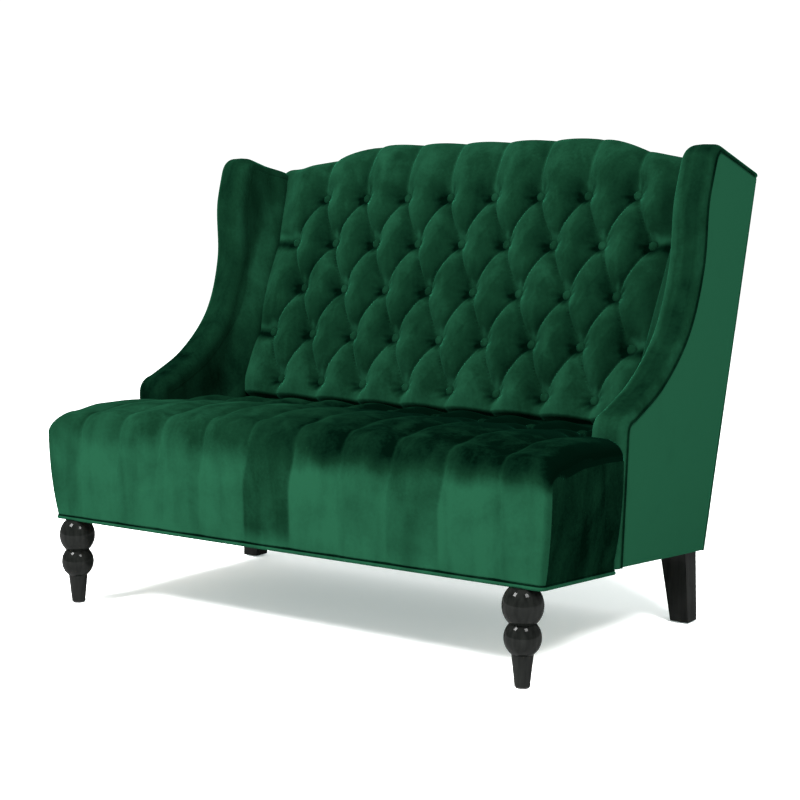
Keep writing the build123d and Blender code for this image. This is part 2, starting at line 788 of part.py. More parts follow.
def rear_sections():
    """Sections from the arms to the seat's rear end, under the back pad."""
    odd = pillow_row(seat_pitch, seat_steps, 0, 1, 0, pit_share)
    even = pillow_row(seat_pitch, seat_steps, 1, 1, 0, pit_share)
    halfway = half_row(seat_pitch, seat_steps, half_share, low_share)
    outer_button = seat_pitch * (seat_steps + 1)
    odd_end = (outer_button, pit_share, outer_button + half_pleat)
    even_start = seat_pitch * seat_steps + half_pleat
    wide_stop = wing_x(0, axis_z) - half_pleat
    even_end = ((even_start + wide_stop) / 2, 0, wide_stop)
    half_start = seat_pitch * (seat_steps + 0.5)
    half_end = ((half_start + wide_stop) / 2, low_share, wide_stop)
    second_row = seat_front_row + seat_row_gap

    def crease(x):
        return seat_top - crease_drop - axis_z

    return [
        rear_section(arm_line, odd, odd_end, seat_rise, top_pleat),
        rear_section(seat_front_row, odd, odd_end, seat_rise, seat_pleat),
        rear_section(seat_front_row + seat_row_gap / 2, halfway, half_end, seat_rise, seat_pleat),
        rear_section(second_row, even, even_end, seat_rise, seat_pleat),
        rear_section((second_row + crease_y) / 2, even, even_end, seat_rise, top_pleat),
        rear_section(crease_y, even, even_end, crease, crease_pleat),
        rear_section(seat_back_end, even, even_end, crease, crease_pleat),
    ]


def skirt_face(side):
    """Cross-section of the padded skirt outside a side rail."""
    middle_z = (cover_bottom + axis_z) / 2
    points = [
        (skirt_x, cover_bottom),
        (seat_half_width - seat_side_draw, cover_bottom),
        (seat_half_width - seat_side_draw * front_draw_share, middle_z),
        (seat_half_width, axis_z),
        (seat_half_width, axis_z + seat_floor),
        (skirt_x, axis_z + seat_floor),
    ]
    with BuildSketch(section_plane(Vector(0, axis_y - seat_floor, 0), upward)) as face:
        with BuildLine():
            Polyline(*[(side * x, z) for x, z in points], close=True)
        make_face()
    return face.sketch


def foam_face(z):
    """Plan of the seat foam: wide in front of the arms, narrower between them."""
    with BuildSketch(Plane.XY.offset(z)) as face:
        with Locations((0, (foam_front + arm_line) / 2)):
            Rectangle(2 * skirt_x, arm_line - foam_front)
        with Locations((0, (foam_front + seat_back_end) / 2)):
            Rectangle(2 * foam_half, seat_back_end - foam_front)
    return face.sketch


seat_spots = []
for row in range(2):
    y = seat_front_row + row * seat_row_gap
    for x in row_spots(seat_pitch, seat_steps + 1 - row):
        seat_spots.append((x, y, seat_z(x) - seat_pleat * pit_share - button_sink))

with BuildPart() as seat_cover:
    loft(front_sections(), ruled=True)
    loft(rear_sections(), ruled=True)
    for side in (-1, 1):
        extrude(skirt_face(side), -(arm_line - axis_y + seat_floor))
    # the space for the rails, and the pocket for the foam over them
    with BuildSketch():
        with Locations((0, (front_rail_face - clear + arm_line) / 2)):
            Rectangle(2 * skirt_x, arm_line - front_rail_face + clear)
    extrude(amount=axis_z, mode=Mode.SUBTRACT)
    extrude(foam_face(0), foam_top, mode=Mode.SUBTRACT)
    with Locations(*seat_spots):
        Cylinder(
            button_radius + clear,
            seat_pad,
            align=(Align.CENTER, Align.CENTER, Align.MIN),
            mode=Mode.SUBTRACT,
        )
save(seat_cover.part, "seat_cover")

with BuildPart() as seat_buttons:
    with Locations(*seat_spots):
        Cylinder(button_radius, button_height, align=(Align.CENTER, Align.CENTER, Align.MIN))
    faces = seat_buttons.faces().filter_by(Axis.Z)
    domes = [face.edges()[0] for face in faces if face.normal_at().Z > 0]
    fillet(domes, button_round)
save(seat_buttons.part, "seat_buttons")

with BuildPart() as seat_foam:
    extrude(foam_face(felt_top + clear), foam_top - felt_top - 2 * clear)
save(seat_foam.part, "seat_foam")

# ------------------------------------------------------------ seat frame
back_rail_face = outside_y(frame_underside, outside_thickness) - clear
back_rail_front = back_rail_face - rail_thickness
rail_inside = wing_x(board_depth, frame_underside) - rail_thickness
rear_leg_outer = wing_x(cover_depth, outside_foot_z) - 2.0
rear_leg_x = rear_leg_outer - rear_leg_width / 2
rear_leg_y = rear_leg_front + rear_leg_depth / 2
rear_foot_x = rear_leg_outer + rear_leg_splay - rear_leg_foot / 2
rear_foot_y = rear_leg_front + rear_leg_rake + rear_leg_foot / 2
leg_places = [(side * front_leg_x, front_leg_y) for side in (-1, 1)]
leg_places += [(side * rear_leg_x, rear_leg_y) for side in (-1, 1)]


def bolt_holes():
    """Outlines of the holes of all leg bolts, with their gap."""
    with BuildSketch(Plane.XY.offset(frame_underside - bolt_in_leg - bolt_gap)) as holes:
        with Locations(*leg_places):
            Circle(bolt_radius + bolt_gap)
    return holes.sketch


bolt_length = bolt_in_leg + bolt_in_rail + 2 * bolt_gap


def between_boards(low, high):
    """Cross-section between the wings' boards, from height low to high."""
    with BuildSketch(Plane.XZ) as face:
        with BuildLine():
            Polyline(
                (wing_x(board_depth, low), low),
                (wing_x(board_depth, high), high),
                (-wing_x(board_depth, high), high),
                (-wing_x(board_depth, low), low),
                close=True,
            )
        make_face()
    return face.sketch


with BuildPart() as seat_front_rail:
    with BuildSketch(Plane.XY.offset(frame_underside)):
        with Locations((0, front_rail_face + rail_thickness / 2)):
            Rectangle(2 * front_rail_half, rail_thickness)
    extrude(amount=rail_height)
    extrude(bolt_holes(), bolt_length, mode=Mode.SUBTRACT)
save(seat_front_rail.part, "seat_front_rail")

with BuildPart() as seat_back_rail:
    profile = between_boards(frame_underside, rail_top).moved(Location((0, back_rail_front, 0)))
    extrude(profile, -rail_thickness)
    extrude(bolt_holes(), bolt_length, mode=Mode.SUBTRACT)
save(seat_back_rail.part, "seat_back_rail")

with BuildPart() as seat_side_rail:
    with BuildSketch(Plane.XZ.offset(-front_rail_back)):
        with BuildLine():
            Polyline(
                (rail_inside, frame_underside),
                (wing_x(board_depth, frame_underside), frame_underside),
                (wing_x(board_depth, rail_top), rail_top),
                (rail_inside, rail_top),
                close=True,
            )
        make_face()
    extrude(amount=front_rail_back - back_rail_front)
    extrude(bolt_holes(), bolt_length, mode=Mode.SUBTRACT)
save_pair(seat_side_rail.part, "seat_side_rail")

with BuildPart() as seat_centre_rail:
    with BuildSketch(Plane.XY.offset(frame_underside)):
        with Locations((0, (front_rail_back + back_rail_front) / 2)):
            Rectangle(centre_rail_width, back_rail_front - front_rail_back)
    extrude(amount=centre_rail_height)
save(seat_centre_rail.part, "seat_centre_rail")

with BuildPart() as corner_blocks:
    with BuildSketch(Plane.XY.offset(frame_underside)):
        for side in (-1, 1):
            for y, way in ((front_rail_back, 1), (back_rail_front, -1)):
                with BuildLine():
                    Polyline(
                        (side * rail_inside, y),
                        (side * (rail_inside - block_leg), y),
                        (side * rail_inside, y + way * block_leg),
                        close=True,
                    )
                make_face()
    extrude(amount=block_height)
save(corner_blocks.part, "corner_blocks")

# ------------------------------------------------------------ springs and seat filling
spring_front = front_rail_back - spring_seat
spring_back = back_rail_front + spring_seat
spring_step = (spring_back - spring_front) / spring_bends
spring_run = (spring_width - spring_wire - spring_step) / 2
spring_z = rail_top + spring_wire / 2
spring_reach = rail_inside - spring_margin
spring_places = [
    -spring_reach + 2 * spring_reach * spring / (spring_count - 1) for spring in range(spring_count)
]

with BuildPart() as spring:
    with BuildLine(Plane.XY.offset(spring_z)) as zigzag:
        side = 1
        for bend in range(spring_bends):
            y = spring_front + bend * spring_step
            Line((-side * spring_run, y), (side * spring_run, y))
            ThreePointArc(
                (side * spring_run, y),
                (side * (spring_run + spring_step / 2), y + spring_step / 2),
                (side * spring_run, y + spring_step),
            )
            side = -side
        Line((-side * spring_run, spring_back), (side * spring_run, spring_back))
    with BuildSketch(Plane(origin=zigzag.line @ 0, z_dir=(1, 0, 0))):
        Circle(spring_wire / 2)
    sweep()

with BuildPart() as seat_springs:
    with Locations(*[(x, 0) for x in spring_places]):
        add(spring.part)
save(seat_springs.part, "seat_springs")

with BuildPart() as spring_clips:
    with BuildSketch(Plane.XY.offset(rail_top)):
        with Locations(*[(x, y) for x in spring_places for y in (spring_front, spring_back)]):
            Rectangle(clip_width, clip_length)
    extrude(amount=clip_height)
    with BuildSketch(Plane.XY.offset(rail_top)):
        with Locations(*[(x, y) for x in spring_places for y in (spring_front, spring_back)]):
            Rectangle(clip_width, spring_wire + 4 * clear)
    extrude(amount=spring_wire + clear, mode=Mode.SUBTRACT)
save(spring_clips.part, "spring_clips")

felt_front = spring_front + clip_length
felt_back = spring_back - clip_length
with BuildPart() as spring_felt:
    with BuildSketch(Plane.XY.offset(felt_top - felt_thickness)):
        with Locations((0, (felt_front + felt_back) / 2)):
            Rectangle(2 * (rail_inside - clear), felt_back - felt_front)
    extrude(amount=felt_thickness)
save(spring_felt.part, "spring_felt")

with BuildPart() as edge_roll:
    with BuildSketch(Plane.XY.offset(rail_top)):
        with Locations((0, front_rail_face + edge_roll_depth / 2)):
            Rectangle(2 * front_rail_half, edge_roll_depth)
    extrude(amount=axis_z - rail_top - clear)
    with BuildSketch(Plane.XY.offset(rail_top)):
        for side in (-1, 1):
            with Locations((side * (rail_inside + front_rail_half) / 2, (foam_front + arm_line) / 2)):
                Rectangle(front_rail_half - rail_inside, arm_line - foam_front)
    extrude(amount=felt_top - rail_top)
save(edge_roll.part, "edge_roll")

# ------------------------------------------------------------ bottom trim
trim_half = seat_half_width - seat_side_draw
trim_front = seat_front + seat_front_draw


def trim_outline(grow, stop):
    """Plan of the seat's bottom edge, grown outward, from its front back to y = stop."""
    front = trim_front - grow
    corner = front_corner_round + grow
    with BuildSketch() as outline:
        with Locations((0, (front + stop) / 2)):
            Rectangle(2 * (trim_half + grow), stop - front)
        fillet(outline.vertices().group_by(Axis.Y)[0], corner)
    return outline.sketch


with BuildPart() as base_welt:
    outline = trim_outline(piping_proud, arm_line)
    extrude(outline.moved(Location((0, 0, frame_underside))), piping)
    ends = base_welt.faces().sort_by(Axis.Y)[-1].edges()
    levels = base_welt.faces().filter_by(Axis.Z).edges()
    fillet([edge for edge in levels if edge.center().Y < ends[0].center().Y - clear], piping * 0.48)
    with BuildSketch():
        with Locations((0, (front_rail_face - clear + arm_line) / 2)):
            Rectangle(2 * skirt_x, arm_line - front_rail_face + clear)
    extrude(amount=rail_top, mode=Mode.SUBTRACT)
save(base_welt.part, "base_welt")

with BuildPart() as base_band:
    band_z = frame_underside - leg_plate
    extrude(trim_outline(-band_inset, arm_line).moved(Location((0, 0, band_z))), leg_plate)
    extrude(
        trim_outline(-band_inset - band_width, arm_line).moved(Location((0, 0, band_z))),
        leg_plate,
        mode=Mode.SUBTRACT,
    )
    # room for the front legs' plates
    with BuildSketch(Plane.XY.offset(band_z)):
        with Locations(*leg_places[:2]):
            Rectangle(leg_plate_side + 2 * clear, leg_plate_side + 2 * clear)
    extrude(amount=leg_plate, mode=Mode.SUBTRACT)
save(base_band.part, "base_band")

dust_half = rear_leg_outer - rear_leg_width - clear
dust_front = front_rail_face + rail_thickness / 2
dust_back = back_rail_face - rail_thickness / 2
with BuildPart() as dust_cover:
    with BuildSketch(Plane.XY.offset(frame_underside - dust_cloth)):
        with Locations((0, (dust_front + dust_back) / 2)):
            Rectangle(2 * dust_half, dust_back - dust_front)
    extrude(amount=dust_cloth)
save(dust_cover.part, "dust_cover")

# ------------------------------------------------------------ legs
leg_top = frame_underside - leg_plate


def under_frame(radius, drop):
    """A point of the front leg's outline."""
    return (radius, frame_underside - drop)


def leg_ball(radius, drop):
    """Draw a ball of the turned leg as an ellipse on its axis that meets the neck."""
    turn = acos(neck[0] / radius)
    half_height = abs(neck[1] - drop) / sin(turn)
    EllipticalCenterArc(
        (0, frame_underside - drop),
        radius,
        half_height,
        start_angle=-degrees(turn),
        arc_size=2 * degrees(turn),
    )


with BuildPart() as turned_leg:
    with BuildSketch(Plane.XZ):
        with BuildLine():
            Polyline(
                (0, leg_top),
                (0, glide_thickness),
                (foot_radius, glide_thickness),
                under_frame(*ankle),
                under_frame(neck[0], 2 * low_ball[1] - neck[1]),
            )
            leg_ball(*low_ball)
            leg_ball(*high_ball)
            Polyline(
                under_frame(neck[0], 2 * high_ball[1] - neck[1]),
                (leg_head_radius, leg_top),
                (0, leg_top),
            )
        make_face()
    revolve(axis=Axis.Z)

for side, name in ((1, "right"), (-1, "left")):
    with BuildPart() as front_leg:
        with Locations((side * front_leg_x, front_leg_y)):
            add(turned_leg.part)
        extrude(bolt_holes(), bolt_length, mode=Mode.SUBTRACT)
    save(front_leg.part, f"front_leg_{name}")

with BuildPart() as rear_leg:
    with BuildSketch(Plane.XY.offset(frame_underside)):
        with Locations((rear_leg_x, rear_leg_y)):
            Rectangle(rear_leg_width, rear_leg_depth)
    with BuildSketch(Plane.XY.offset(glide_thickness)):
        with Locations((rear_foot_x, rear_foot_y)):
            Rectangle(rear_leg_foot, rear_leg_foot)
    loft(ruled=True)
    extrude(bolt_holes(), bolt_length, mode=Mode.SUBTRACT)
save_pair(rear_leg.part, "rear_leg")

with BuildPart() as leg_plates:
    with BuildSketch(Plane.XY.offset(leg_top)):
        with Locations(*leg_places[:2]):
            Rectangle(leg_plate_side, leg_plate_side)
            Circle(bolt_radius + bolt_gap, mode=Mode.SUBTRACT)
    extrude(amount=leg_plate)
save(leg_plates.part, "leg_plates")

with BuildPart() as leg_bolts:
    with BuildSketch(Plane.XY.offset(frame_underside - bolt_in_leg)):
        with Locations(*leg_places):
            Circle(bolt_radius)
    extrude(amount=bolt_in_leg + bolt_in_rail)
save(leg_bolts.part, "leg_bolts")

glide_places = leg_places[:2] + [(side * rear_foot_x, rear_foot_y) for side in (-1, 1)]
with BuildPart() as leg_glides:
    with BuildSketch():
        with Locations(*glide_places):
            Circle(glide_radius)
    extrude(amount=glide_thickness)
save(leg_glides.part, "leg_glides")
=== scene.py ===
# %% [markdown]
# # A high back settee in green velvet
#
# A settee for two, with a deep-buttoned back between two wings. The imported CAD
# model gives the frame, the legs and the sizes. This lesson dresses it: padded and
# buttoned velvet, welts and piping, polished wood, and a studio to show it in.
#
# The padded pieces are grids of points worked out with numpy, and not sculpted by
# hand. The script then gives the same cloth on every run, and any size can change.

from math import cos, pi, radians, sin, tan

import bpy
import numpy as np
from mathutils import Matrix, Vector, noise


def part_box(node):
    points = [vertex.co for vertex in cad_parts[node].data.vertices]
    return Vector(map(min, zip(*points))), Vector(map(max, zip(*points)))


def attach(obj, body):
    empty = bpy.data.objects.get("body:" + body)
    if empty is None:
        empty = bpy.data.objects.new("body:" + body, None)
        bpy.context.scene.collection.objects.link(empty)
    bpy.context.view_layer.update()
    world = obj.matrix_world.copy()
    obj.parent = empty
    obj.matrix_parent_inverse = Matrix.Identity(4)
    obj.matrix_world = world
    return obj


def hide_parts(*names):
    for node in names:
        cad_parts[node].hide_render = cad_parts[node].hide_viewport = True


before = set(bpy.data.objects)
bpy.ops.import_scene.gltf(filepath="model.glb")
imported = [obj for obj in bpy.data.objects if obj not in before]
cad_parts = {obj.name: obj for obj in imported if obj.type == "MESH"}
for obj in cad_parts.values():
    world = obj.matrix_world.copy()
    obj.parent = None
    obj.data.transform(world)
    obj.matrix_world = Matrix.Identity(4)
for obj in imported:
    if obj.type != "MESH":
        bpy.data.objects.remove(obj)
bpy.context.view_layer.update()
print("nodes loaded:", len(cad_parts))

# %% [markdown]
# ## Sizes that several pieces share
# Shapes are worked out in millimetres in the CAD model's frame, with x to the
# right, y to the back and z up, and turn into metres when a mesh is made. The sizes
# are the CAD model's own, unless a comment names the photograph.

# %% Shared sizes
MM = 0.001
SEAT_TOP = 438.0
LEAN = radians(2.3)  # of the wings, outward
RAKE = radians(23.0)  # of the inside back
OUTER_RAKE = radians(11.3)  # of the outside back
WING_INSIDE = 558.0  # half the space between the wings at the seat's top
WING_DEPTH = 75.0  # from a wing's inner face to its outer one
WING_BACK_TOP = 940.0  # a wing's top at the outside back
OUTSIDE_FOOT_Y, OUTSIDE_FOOT_Z, OUTSIDE_THICK = 260.5, 151.0, 7.0
CREST_HIGH, CREST_LOW = 1017.0, 966.0  # in the middle, and beside the wings
CREST_FLAT, CREST_FOOT = 279.0, 530.0  # half widths between which the crest falls


def smooth(t):
    """A soft step from 0 to 1."""
    t = np.clip(t, 0, 1)
    return t * t * (3 - 2 * t)


def bump(away, width):
    """A soft bump: 1 at away 0, and almost gone at twice the width."""
    return np.exp(-((away / width) ** 2))


def wing_x(depth, z):
    """x at height z of a sheet depth mm outboard of a wing's inner face."""
    return WING_INSIDE + (z - SEAT_TOP) * tan(LEAN) + depth / cos(LEAN)


def outside_y(z, depth=0.0):
    """y at height z of a sheet depth mm inside the outside back."""
    return OUTSIDE_FOOT_Y + (z - OUTSIDE_FOOT_Z) * tan(OUTER_RAKE) - depth / cos(OUTER_RAKE)


def crest_z(x):
    """Height of the crest: level in the middle, falling to both wings."""
    return CREST_LOW + (CREST_HIGH - CREST_LOW) * smooth(
        (CREST_FOOT - np.abs(x)) / (CREST_FOOT - CREST_FLAT)
    )


print("half width over the wings at the seat:", round(wing_x(WING_DEPTH, SEAT_TOP), 1), "mm")

# %% [markdown]
# ## The photographer's camera
# It stands front right of the settee, a little under the height of the crest, and
# looks slightly down with a long lens. Its place was found from the settee's own
# straight edges and feet. A direction is easier to check than three angles.

# %% Camera
YAW, PITCH = 0.623, 0.108  # round to the right of the front, and down, in radians
camera = bpy.data.objects.new("camera", bpy.data.cameras.new("camera"))
bpy.context.scene.collection.objects.link(camera)
bpy.context.scene.camera = camera
camera.data.sensor_width = 36.0
camera.data.lens = 73.1
camera.data.clip_start, camera.data.clip_end = 0.1, 60.0
backwards = Vector((sin(YAW) * cos(PITCH), -cos(YAW) * cos(PITCH), sin(PITCH)))
camera.rotation_mode = "QUATERNION"
camera.rotation_quaternion = backwards.to_track_quat("Z", "Y")
camera.location = (2.0567, -2.833, 0.8296)
print("camera at", tuple(round(c, 2) for c in camera.location))

# %% [markdown]
# ## Mesh tools
# A mesh is points, and faces that name their corners by number. On a grid those
# numbers follow a rule, so numpy writes thousands of faces at once. Each point also
# keeps its nap and shading: how the pile lies there, with painted light and shade
# added in. 0 is dark, and 1 is bright. The material reads it later.

# %% Objects and grids


def make_object(name, points, faces):
    """A smooth-shaded mesh object from points in millimetres, on the frame's body."""
    mesh = bpy.data.meshes.new(name)
    mesh.from_pydata((np.asarray(points) * MM).tolist(), [], faces)
    mesh.polygons.foreach_set("use_smooth", [True] * len(mesh.polygons))
    mesh.update()
    made = bpy.data.objects.new(name, mesh)
    bpy.context.scene.collection.objects.link(made)
    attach(made, "root")
    return made


def grid_faces(rows, columns, start=0, flip=False, wrap=False):
    """Quads of a grid of points stored row by row; wrap joins its last column to its first."""
    i = np.arange(rows - 1)[:, None]
    j = np.arange(columns if wrap else columns - 1)[None, :]
    k = (j + 1) % columns
    quads = np.stack(
        [i * columns + j, i * columns + k, (i + 1) * columns + k, (i + 1) * columns + j], -1
    ).reshape(-1, 4) + start
    return (quads[:, ::-1] if flip else quads).tolist()


def lay_nap_and_shading(made, values):
    """Keep on each point its nap, with its painted light and shade."""
    kept = made.data.attributes.new("nap_and_shading", "FLOAT", "POINT")
    kept.data.foreach_set("value", np.asarray(values, np.float32).ravel())


print("a grid of 3 by 3 points has", len(grid_faces(3, 3)), "faces")

# %% [markdown]
# A padded piece could be one sheet with a Solidify modifier, but its thickness would
# then be the same everywhere. So each pad is two grids, the cloth and the inner side
# of its filling, joined round the border into a closed skin.

# %% Closed pads


def closed_pad(name, outer, inner, nap_and_shading=0.5, flip=False):
    """A closed skin from an outer and an inner grid of the same size, with its nap and painted
    shading.
    """
    rows, columns = outer.shape[:2]
    count = rows * columns
    faces = grid_faces(rows, columns, 0, flip) + grid_faces(rows, columns, count, not flip)
    at = np.arange(count).reshape(rows, columns)
    border = np.concatenate([at[0], at[1:, -1], at[-1, -2::-1], at[-2:0:-1, 0]]).tolist()
    for a, b in zip(border, border[1:] + border[:1]):
        edge = [b, a, a + count, b + count]
        faces.append(edge[::-1] if flip else edge)
    made = make_object(name, np.concatenate([outer.reshape(-1, 3), inner.reshape(-1, 3)]), faces)
    lay_nap_and_shading(made, np.tile(np.broadcast_to(nap_and_shading, outer.shape[:2]).ravel(), 2))
    return made


def slopes(points):
    """Unit normals of a grid of points."""
    across = np.gradient(points, axis=1)
    onward = np.gradient(points, axis=0)
    normal = np.cross(across, onward)
    return normal / np.maximum(np.linalg.norm(normal, axis=-1, keepdims=True), 1e-9)


def waves(points, size, seed=0.0):
    """Smooth noise from -1 to 1 at each point, with waves of about size mm."""
    flat = points.reshape(-1, 3)
    values = [noise.noise(Vector(p / size) + Vector((seed, seed * 1.7, -seed))) for p in flat]
    return np.array(values).reshape(points.shape[:-1])


print("the first wave:", round(float(waves(np.zeros((1, 3)), 50.0, 3.0)[0]), 3))

# %% [markdown]
# Welts and piping are cord sewn into a strip of cloth. A curve with a bevel would do.
# A ring of points carried along the path is as short, and takes the nap and painted
# shading straight away. It turns as little as it can from point to point, so the tube doesn't twist.

# %% Tubes for welts and piping
TUBE_SIDES = 14


def tube(name, path, radius, nap_and_shading):
    """A round tube along a path of points, with capped ends."""
    path = np.asarray(path, float)
    ahead = np.gradient(path, axis=0)
    ahead /= np.linalg.norm(ahead, axis=1)[:, None]
    across = np.zeros_like(ahead)
    side = np.array([1.0, 0.0, 0.0]) if abs(ahead[0][0]) < 0.9 else np.array([0.0, 0.0, 1.0])
    for i, way in enumerate(ahead):
        side = side - way * side.dot(way)
        side = side / np.linalg.norm(side)
        across[i] = side
    other = np.cross(ahead, across)
    turn = np.linspace(0, 2 * pi, TUBE_SIDES, endpoint=False)
    ring = (
        path[:, None]
        + radius * np.cos(turn)[None, :, None] * across[:, None]
        + radius * np.sin(turn)[None, :, None] * other[:, None]
    )
    count = len(path) * TUBE_SIDES
    faces = grid_faces(len(path), TUBE_SIDES, wrap=True)
    faces += [list(range(TUBE_SIDES))[::-1], list(range(count - TUBE_SIDES, count))]
    made = make_object(name, ring.reshape(-1, 3), faces)
    lay_nap_and_shading(made, np.full(count, nap_and_shading))
    return made


def even(points, count):
    """The same line with its points at equal distances."""
    run = np.concatenate([[0], np.cumsum(np.linalg.norm(np.diff(points, axis=0), axis=1))])
    s = np.linspace(0, run[-1], count)
    return np.stack([np.interp(s, run, points[:, i]) for i in range(points.shape[1])], -1)


corner = even(np.array([(0.0, 0.0), (3.0, 0.0), (3.0, 3.0)]), 3)
print("halfway round a corner:", corner[1])

# %% [markdown]
# ## Deep buttoning
# An upholsterer sets the buttons in staggered rows and pulls them deep into the
# filling. The spare cloth folds along the diagonals between them, which leaves
# diamonds, and it runs in straight pleats past the last row. A pinned cloth
# simulation could find these folds, but it is hard to make all the diamonds
# come out alike. Here the buttons are a lattice with two diagonal coordinates, a
# and b: a button lies where both are whole, and a fold where one of them is.

# %% The height of a buttoned pad
LEFT_FULL = 0.80  # under 1, a pillow is fuller on its left, over its neighbour's fold
PLUMP = 0.33  # the lower, the flatter is a pillow's top and the steeper its side
CREASE = 0.004  # how soft the bottom of a fold is
SMOOTH_HEIGHT = 0.50  # of the cloth beyond the last buttons of a row
PIT_REACH = 24.0  # how far from a button its pit reaches, in mm
GATHERS, GATHER_HEIGHT = 9, 0.030  # small pleats in a ring round each button
GATHER_RING, GATHER_WIDTH = 21.0, 9.0


def pillow(across, along):
    """Height between folds at whole numbers of both coordinates: 0 there, 1 between."""
    swell = np.sin(pi * (across % 1) ** LEFT_FULL) * np.sin(pi * (along % 1) ** LEFT_FULL)
    low, high = CREASE**PLUMP, (1 + CREASE) ** PLUMP
    return ((swell + CREASE) ** PLUMP - low) / (high - low)


def tufting(x, v, pitch, gap, rows, outer, fold, before, after):
    """The shape of deep buttoning at a pad's own x and v.

    Gives the height's share, from 0 in a button's pit to 1 on a pillow, and the painted
    shade and highlight there. pitch is half the distance between two buttons of a row,
    gap the distance from row to row, and the lattice ends outer pitches from the middle.
    fold, before and after are the heights kept along the diagonal folds and along the
    straight ones beyond the rows.
    """
    last = gap * (rows - 1)
    inside = np.clip(v, 0, last)
    within = np.clip(x, -outer * pitch, outer * pitch)
    along = within / pitch + 1
    across = inside / gap
    a, b = (along + across) / 2, (along - across) / 2
    off_a, off_b = a - np.round(a), b - np.round(b)
    over = np.abs(x - within)
    dx = (off_a + off_b) * pitch
    # past the last button of a row, the nearest lattice point holds no button
    dx = np.where(np.abs(within - dx) > (outer + 0.1) * pitch, -dx, dx)
    dv = (off_a - off_b) * gap + (v - inside)
    away = np.hypot(dx + (x - within), dv)
    kept = fold + (before - fold) * smooth(-v / 30) + (after - fold) * smooth((v - last) / 30)
    kept = kept + (SMOOTH_HEIGHT - kept) * smooth(over / 40)
    gathers = np.cos(GATHERS * np.arctan2(dv, dx) + np.round(a) * 2.0 + np.round(b))
    gathers = GATHER_HEIGHT * gathers * bump(away - GATHER_RING, GATHER_WIDTH)
    pit = 1 - np.exp(-((away / PIT_REACH) ** 1.6))
    height = (kept + (1 - kept) * pillow(a, b)) * pit + gathers
    return np.clip(height, 0, None), pit_shading(dx, dv, over)


print("height in the middle of a pillow:", round(float(pillow(0.5, 0.5)), 2))

# %% [markdown]
# Velvet shows a pit by light and shade as much as by its shape: the cloth below and
# left of a button is dark, and a small flap above it shines. Here both are painted:
# painted shade under the button and a painted highlight on the flap. Painted by hand,
# that would need a picture. The distances that give the shape give this too.

# %% Painted shade and highlight round a button


def pit_shading(dx, dv, over):
    """Painted shade under a button, and a painted highlight on the flap of cloth above it.

    dx and dv are measured from the nearest button and over beyond the last ones,
    where a level pleat runs from the button to the pad's edge.
    """
    # painted highlight on the flap above a button, painted shade below and left of it
    painted_flap_light = bump(dx, 8) * bump(dv - 19 + 11 * smooth(over / 20), 9)
    painted_under_shade = bump(dx + 6, 14) * bump(dv + 9, 13)
    return 0.30 * painted_flap_light - 0.52 * painted_under_shade


print("pile just under a button:", round(float(pit_shading(-6.0, -9.0, 0.0)), 2))

# %% [markdown]
# ## The inside back
# On the real settee the cover runs over foam and webbing, over the crest and down
# behind. The grid goes the same way: rows up the slope, round the crest, and back
# and down to the outside back. The buttoning's height raises each row.

# %% Sizes of the back
LOW_ROW = np.array([0.0, 139.5, 461.5])  # middle of the lowest row of buttons
UP_BACK = np.array([0.0, sin(RAKE), cos(RAKE)])
OUT_BACK = np.array([0.0, -cos(RAKE), sin(RAKE)])
BACK_PITCH, BACK_GAP, BACK_ROWS, BACK_OUTER = 60.5, 116.0, 5, 8
BACK_TUFTS = dict(
    pitch=BACK_PITCH, gap=BACK_GAP, rows=BACK_ROWS, outer=BACK_OUTER, fold=0.26, before=0.42, after=0.5
)
BACK_FOOT_V, CREST_V = -52.0, BACK_GAP * (BACK_ROWS - 1) + 48.0  # v goes up the slope
PILLOW = 37.0  # how far a pillow stands out of the buttons' plane
SETBACK = 16.0  # of the axis that the crest turns round, behind that plane
WING_TUCK = 1.5  # how far the pad runs into the wings
BACK_STEP = 3.4  # about the grid's spacing
EDGE_FLATTER, FOOT_FLATTER = 12.0, 15.0  # beside the wings, and below the lowest row
print("back pitch", BACK_PITCH, "crest at", CREST_V, "mm up the slope")

# %% Rows of the back


def edging(x):
    """How far x lies from the outermost buttons, at 0, to the wings, at 1."""
    return smooth((np.abs(x) - BACK_OUTER * BACK_PITCH) / 80)


def pulled_flat(height, x):
    """Pillow heights evened out toward the wings, where the cloth is pulled flat."""
    return height + (0.40 - height) * 0.85 * edging(x)


def back_row(middle, out, x, reach, inset):
    """Points across the pad, each raised by its reach along out."""
    return middle + out * (reach - inset)[:, None] + np.stack([x, 0 * x, 0 * x], -1)


def face_row(v, share, inset):
    """A row of the sloping face, v mm above the lowest buttons, and its pits' painted shade and
    highlight.
    """
    middle = LOW_ROW + UP_BACK * v
    x = share * (wing_x(0, middle[2]) + WING_TUCK)
    height, painted_pits = tufting(x, v, **BACK_TUFTS)
    crown = PILLOW - FOOT_FLATTER * smooth(-v / 60) - EDGE_FLATTER * edging(x)
    reach = pulled_flat(height, x) * crown - 26 * smooth((-v - 41) / 11)
    return back_row(middle, OUT_BACK, x, reach, inset), painted_pits


def crest_row(turn, share, inset):
    """A row of the crest, turn degrees round from the face."""
    axis = LOW_ROW + UP_BACK * CREST_V - OUT_BACK * SETBACK
    t = radians(turn)
    x = share * (wing_x(0, axis[2] + 40 * sin(t)) + WING_TUCK)
    height = pulled_flat(tufting(x, CREST_V + turn / 90 * 40, **BACK_TUFTS)[0], x)
    front = SETBACK + (PILLOW - EDGE_FLATTER * edging(x)) * height
    rise = (crest_z(x) - (LOW_ROW[2] - SETBACK * sin(RAKE))) / cos(RAKE) - CREST_V
    ending = np.clip((np.abs(share) - 0.97) / 0.03, 0, 1)
    top = rise - 6 * (1 - height) - 9 * (1 - np.sqrt(1 - ending**2))
    reach = 1 / np.hypot(cos(t) / front, sin(t) / top)
    return back_row(axis, OUT_BACK * cos(t) + UP_BACK * sin(t), x, reach, inset)


